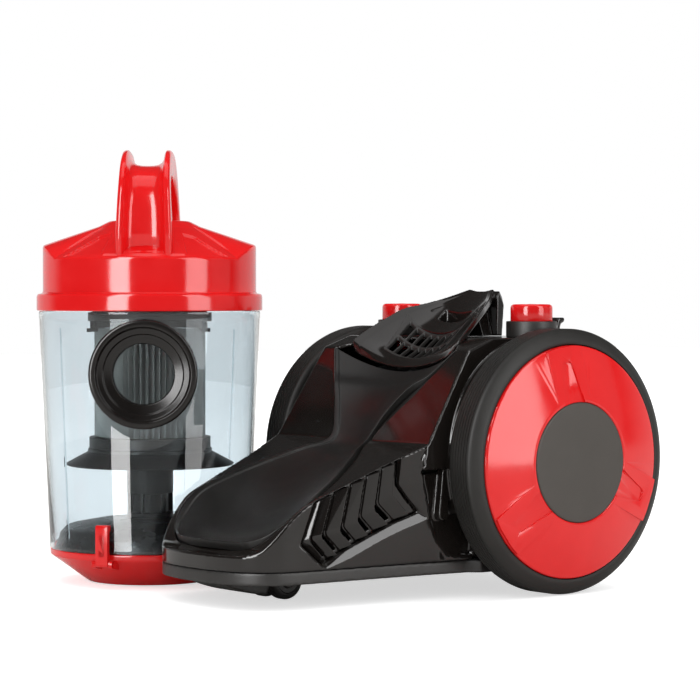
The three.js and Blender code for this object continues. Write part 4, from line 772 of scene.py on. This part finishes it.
def lid_z(r, x, y):
    c = abs(x) / max(r, 1e-6)
    s_ = min(1, max(0, (80 - r) / 44))
    lo = .835 + (.925 - .835) * s_
    k = (max(0, c - lo) / (1 - lo)) ** (1.0 - .72 * s_)
    z = float(np.interp(r, *FRZ)) * (1 - k) + float(np.interp(r, *SHZ)) * k
    ax, ay = abs(x), abs(y)
    p = petal(ax, ay)
    if p > 0: z -= 1.7 * sstep(p, 0, 1.3)
    # raised land beside each handle foot
    s = ((29.4 - 13.9) * (ay - 31) - (67 - 31) * (ax - 13.9)) / math.hypot(15.5, 36)
    if 33 < r < 78: z += .9 * sstep(s, 0, 1.0) * sstep(r, 33, 35) * sstep(78 - r, 0, 2)
    # groove round the foot of the handle
    if ax < 20.6 and ay > 60:
        g = max(0, 1 - abs(ay - 73.2) / .7) if ax < 20 else 0
        g = max(g, max(0, 1 - abs(ax - 20) / .6) if ay < 73.6 else 0)
        z -= .8 * g
    return z


SEGL = 640
outer = [(84.1, 202.3), (84.7, 202.9), (84.7, 212.4), (84.4, 213.6), (83.9, 214.5), (82.6, 214.9), (81.1, 215.2), (80.3, 215.9), (80, 217.2)]
vs = []; rows = []
for r, z in outer: rows.append([(r, z)] * SEGL)
top_r = [80, 79.85, 79.4, 78.7] + list(np.linspace(78.0, 34, 64)) + [32.6, 31.6, 30.6, 29.4]
drum_top = lambda x, y: lid_z(79.9, x, y)
for z_f in (.33, .66, .93):
    rows.append([(80, None, z_f)] * SEGL)
for r in top_r: rows.append([(r, 'top')] * SEGL)
inner = [(27, 269.4), (4, 269.4), (4, 265.5), (28, 265.5), (40, 258), (77.0, 236), (77.4, 235), (77.4, 209), (80.5, 206), (80.5, 202.6), (80.9, 202.3)]
for r, z in inner: rows.append([(r, z)] * SEGL)
for row_ in rows:
    for i in range(SEGL):
        a = 2 * math.pi * i / SEGL; c, s = math.cos(a), math.sin(a); e = row_[i]
        if len(e) == 3: z = 217.2 + (lid_z(79.95, 79.95 * c, 79.95 * s) - 217.2) * e[2]; r = e[0]
        elif e[1] == 'top': r = e[0]; z = lid_z(r, r * c, r * s) if r > 30.2 else 269.4
        else: r, z = e
        vs.append((r * c, r * s, z))
fs = []
m = len(rows)
for j in range(m):
    k = (j + 1) % m
    for i in range(SEGL):
        l = (i + 1) % SEGL
        fs.append((j * SEGL + i, j * SEGL + l, k * SEGL + l, k * SEGL + i))
lid = make("lid", vs, fs)
lid = join(lid, rod('z', 4.6, 265.4, 269.45, (0, 0, 0), 64))
done(lid, "lid_skin", RED, "lid_unit", bin_xf, ["bin_lid"], sharp=28)

# handle: U section swept over the arch
ARCH = [(-63, 238), (-64.6, 250), (-65.5, 262), (-62, 284), (-50, 301), (-28, 309.2), (0, 310), (26, 307.5), (46, 297), (57, 281), (60, 262), (59.4, 250), (59, 244)]
path = catmull(ARCH, 97); secs = []
SEC = [(0, 0), (5, .15), (9, .8), (12, 2.4), (13.7, 5), (14.5, 8), (15.1, 10.4), (16.0, 11.6), (17.3, 11.7), (18.7, 11.4), (19.8, 10.6), (20.3, 8.8), (20.4, 6), (20.4, -5.2), (19.9, -6.4), (18.8, -7), (16.2, -7), (14.9, -6.4), (14, -5.4), (12, -5), (0, -5)]
SEC = SEC + [(-x, y) for x, y in SEC[1:-1][::-1]]
for k, (y, z) in enumerate(path):
    a, b = path[max(k - 1, 0)], path[min(k + 1, len(path) - 1)]
    t = Vector((b[0] - a[0], b[1] - a[1])).normalized(); nn = Vector((-t.y, t.x))
    if nn.dot(Vector((y, z - 262))) < 0: nn = -nn
    w = 1 - .105 * sstep(z, 250, 312)
    grow_ = 1.0
    secs.append([(px * w, y + nn.x * py * grow_, z + nn.y * py * grow_) for px, py in SEC])
hd = loft(secs)
done(hd, "handle_skin", RED, "lid_unit", bin_xf, ["carry_handle"], sharp=40)

# ------------------------------------------------------------------ stage and light
def studio_world(nt, bg):
    """white all round; in mirror reflections only the backdrop behind, up to its top edge, is white"""
    L = nt.links
    tc = N(nt, "ShaderNodeTexCoord")
    dot = N(nt, "ShaderNodeVectorMath", operation='DOT_PRODUCT'); L.new(tc.outputs["Generated"], dot.inputs[0]); dot.inputs[1].default_value = (fw.x, fw.y, 0)
    back = N(nt, "ShaderNodeMapRange"); L.new(dot.outputs["Value"], back.inputs["Value"])
    back.inputs["From Min"].default_value = .25; back.inputs["From Max"].default_value = .5
    sep = N(nt, "ShaderNodeSeparateXYZ"); L.new(tc.outputs["Generated"], sep.inputs[0])
    low = N(nt, "ShaderNodeMapRange"); L.new(sep.outputs["Z"], low.inputs["Value"])
    low.inputs["From Min"].default_value = .27; low.inputs["From Max"].default_value = .36; low.inputs["To Min"].default_value = 1; low.inputs["To Max"].default_value = 0
    both_ = N(nt, "ShaderNodeMath", operation='MULTIPLY'); L.new(back.outputs["Result"], both_.inputs[0]); L.new(low.outputs["Result"], both_.inputs[1])
    gl = N(nt, "ShaderNodeMapRange"); L.new(both_.outputs[0], gl.inputs["Value"]); gl.inputs["To Min"].default_value = .05; gl.inputs["To Max"].default_value = .75
    lp = N(nt, "ShaderNodeLightPath")
    once = N(nt, "ShaderNodeMath", operation='MINIMUM'); L.new(lp.outputs["Glossy Depth"], once.inputs[0]); once.inputs[1].default_value = 1.0
    kind = N(nt, "ShaderNodeMath", operation='MAXIMUM'); L.new(lp.outputs["Is Glossy Ray"], kind.inputs[0]); L.new(lp.outputs["Is Transmission Ray"], kind.inputs[1])
    sub = N(nt, "ShaderNodeMath", operation='MULTIPLY'); L.new(once.outputs[0], sub.inputs[0]); L.new(kind.outputs[0], sub.inputs[1])
    mx = N(nt, "ShaderNodeMix"); mx.data_type = 'FLOAT'
    L.new(sub.outputs[0], mx.inputs[0]); mx.inputs[2].default_value = 1.0; L.new(gl.outputs["Result"], mx.inputs[3])
    L.new(mx.outputs[0], bg.inputs["Strength"])


def stage():
    me = bpy.data.meshes.new("floor")
    me.from_pydata([(-6, -6, -.0005), (6, -6, -.0005), (6, 6, -.0005), (-6, 6, -.0005)], [], [(0, 1, 2, 3)])
    ob = bpy.data.objects.new("floor", me); COL.objects.link(ob)
    m, nt, b = node_mat("floor_paper")
    tc = N(nt, "ShaderNodeTexCoord"); nz = N(nt, "ShaderNodeTexNoise", Scale=9.0, Detail=2.0)
    nt.links.new(tc.outputs["Object"], nz.inputs["Vector"])
    rp = N(nt, "ShaderNodeValToRGB"); nt.links.new(nz.outputs["Fac"], rp.inputs["Fac"])
    rp.color_ramp.elements[0].color = (.80, .80, .80, 1); rp.color_ramp.elements[1].color = (.82, .82, .82, 1)
    lpg = N(nt, "ShaderNodeLightPath"); dim = N(nt, "ShaderNodeMix"); dim.data_type = 'RGBA'
    gs = N(nt, "ShaderNodeMath", operation="MINIMUM"); nt.links.new(lpg.outputs["Glossy Depth"], gs.inputs[0]); gs.inputs[1].default_value = 1.0
    nt.links.new(gs.outputs[0], dim.inputs[0]); nt.links.new(rp.outputs["Color"], dim.inputs[6]); dim.inputs[7].default_value = (.80, .785, .76, 1)
    nt.links.new(dim.outputs[2], b.inputs["Base Color"]); b.inputs["Roughness"].default_value = .95; b.inputs["Specular IOR Level"].default_value = .0
    b.inputs["Emission Color"].default_value = (1, 1, 1, 1)
    lp = N(nt, "ShaderNodeLightPath"); mr = N(nt, "ShaderNodeMapRange"); thin = N(nt, "ShaderNodeMath", operation="MULTIPLY"); nt.links.new(lp.outputs["Is Transmission Ray"], thin.inputs[0]); thin.inputs[1].default_value = .55
    clean = N(nt, "ShaderNodeMath", operation="SUBTRACT"); clean.use_clamp = True; nt.links.new(thin.outputs[0], clean.inputs[0]); nt.links.new(lp.outputs["Glossy Depth"], clean.inputs[1])
    seen = N(nt, "ShaderNodeMath", operation="MAXIMUM"); nt.links.new(lp.outputs["Is Camera Ray"], seen.inputs[0])
    nt.links.new(clean.outputs[0], seen.inputs[1]); nt.links.new(seen.outputs[0], mr.inputs["Value"])
    mr.inputs["To Min"].default_value = 0.0; mr.inputs["To Max"].default_value = .62
    nt.links.new(mr.outputs["Result"], b.inputs["Emission Strength"])
    me.materials.append(m)


stage()
sc = bpy.context.scene
w = bpy.data.worlds.new("studio"); sc.world = w; w.use_nodes = True
bg = w.node_tree.nodes["Background"]; bg.inputs["Color"].default_value = (1, 1, 1, 1)
studio_world(w.node_tree, bg)
sc.view_settings.view_transform = 'Standard'

R3 = Vector((right.x, right.y, 0)); F3 = Vector((fw.x, fw.y, 0)).normalized()


def panel_light(name, az, half_deg, z0, z1, radiance, dist=1.7, diffuse=False, col=(1, 1, 1)):
    """upright softbox at an azimuth to the right of the camera's direction"""
    a = math.radians(az)
    p = (-F3 * math.cos(a) + R3 * math.sin(a)) * dist
    width = 2 * dist * math.tan(math.radians(half_deg)); height = z1 - z0
    l = bpy.data.lights.new(name, 'AREA'); l.shape = 'RECTANGLE'; l.size = width; l.size_y = height; l.color = col
    l.energy = radiance * math.pi * width * height
    o = bpy.data.objects.new(name, l); COL.objects.link(o); o.location = (p.x, p.y, (z0 + z1) / 2)
    o.rotation_euler = Vector((-p.x, -p.y, 0)).to_track_quat('-Z', 'Y').to_euler()
    o.visible_camera = False; o.visible_diffuse = diffuse
    return o


panel_light("strip_left", -31.5, 10.0, -.25, 2.3, 13.0)
panel_light("soft_right", 53, 13, -.2, 2.0, 5.5)
panel_light("soft_side", 86, 14, -.2, 1.6, .35)
tl = bpy.data.lights.new("overhead", 'AREA'); tl.shape = 'RECTANGLE'; tl.size = 2.0; tl.size_y = 1.2; tl.energy = 1.2 * math.pi * 2.4
to = bpy.data.objects.new("overhead", tl); COL.objects.link(to); to.location = (0, 0, 1.9); to.rotation_euler = (0, 0, math.atan2(R3.y, R3.x)); to.visible_camera = False
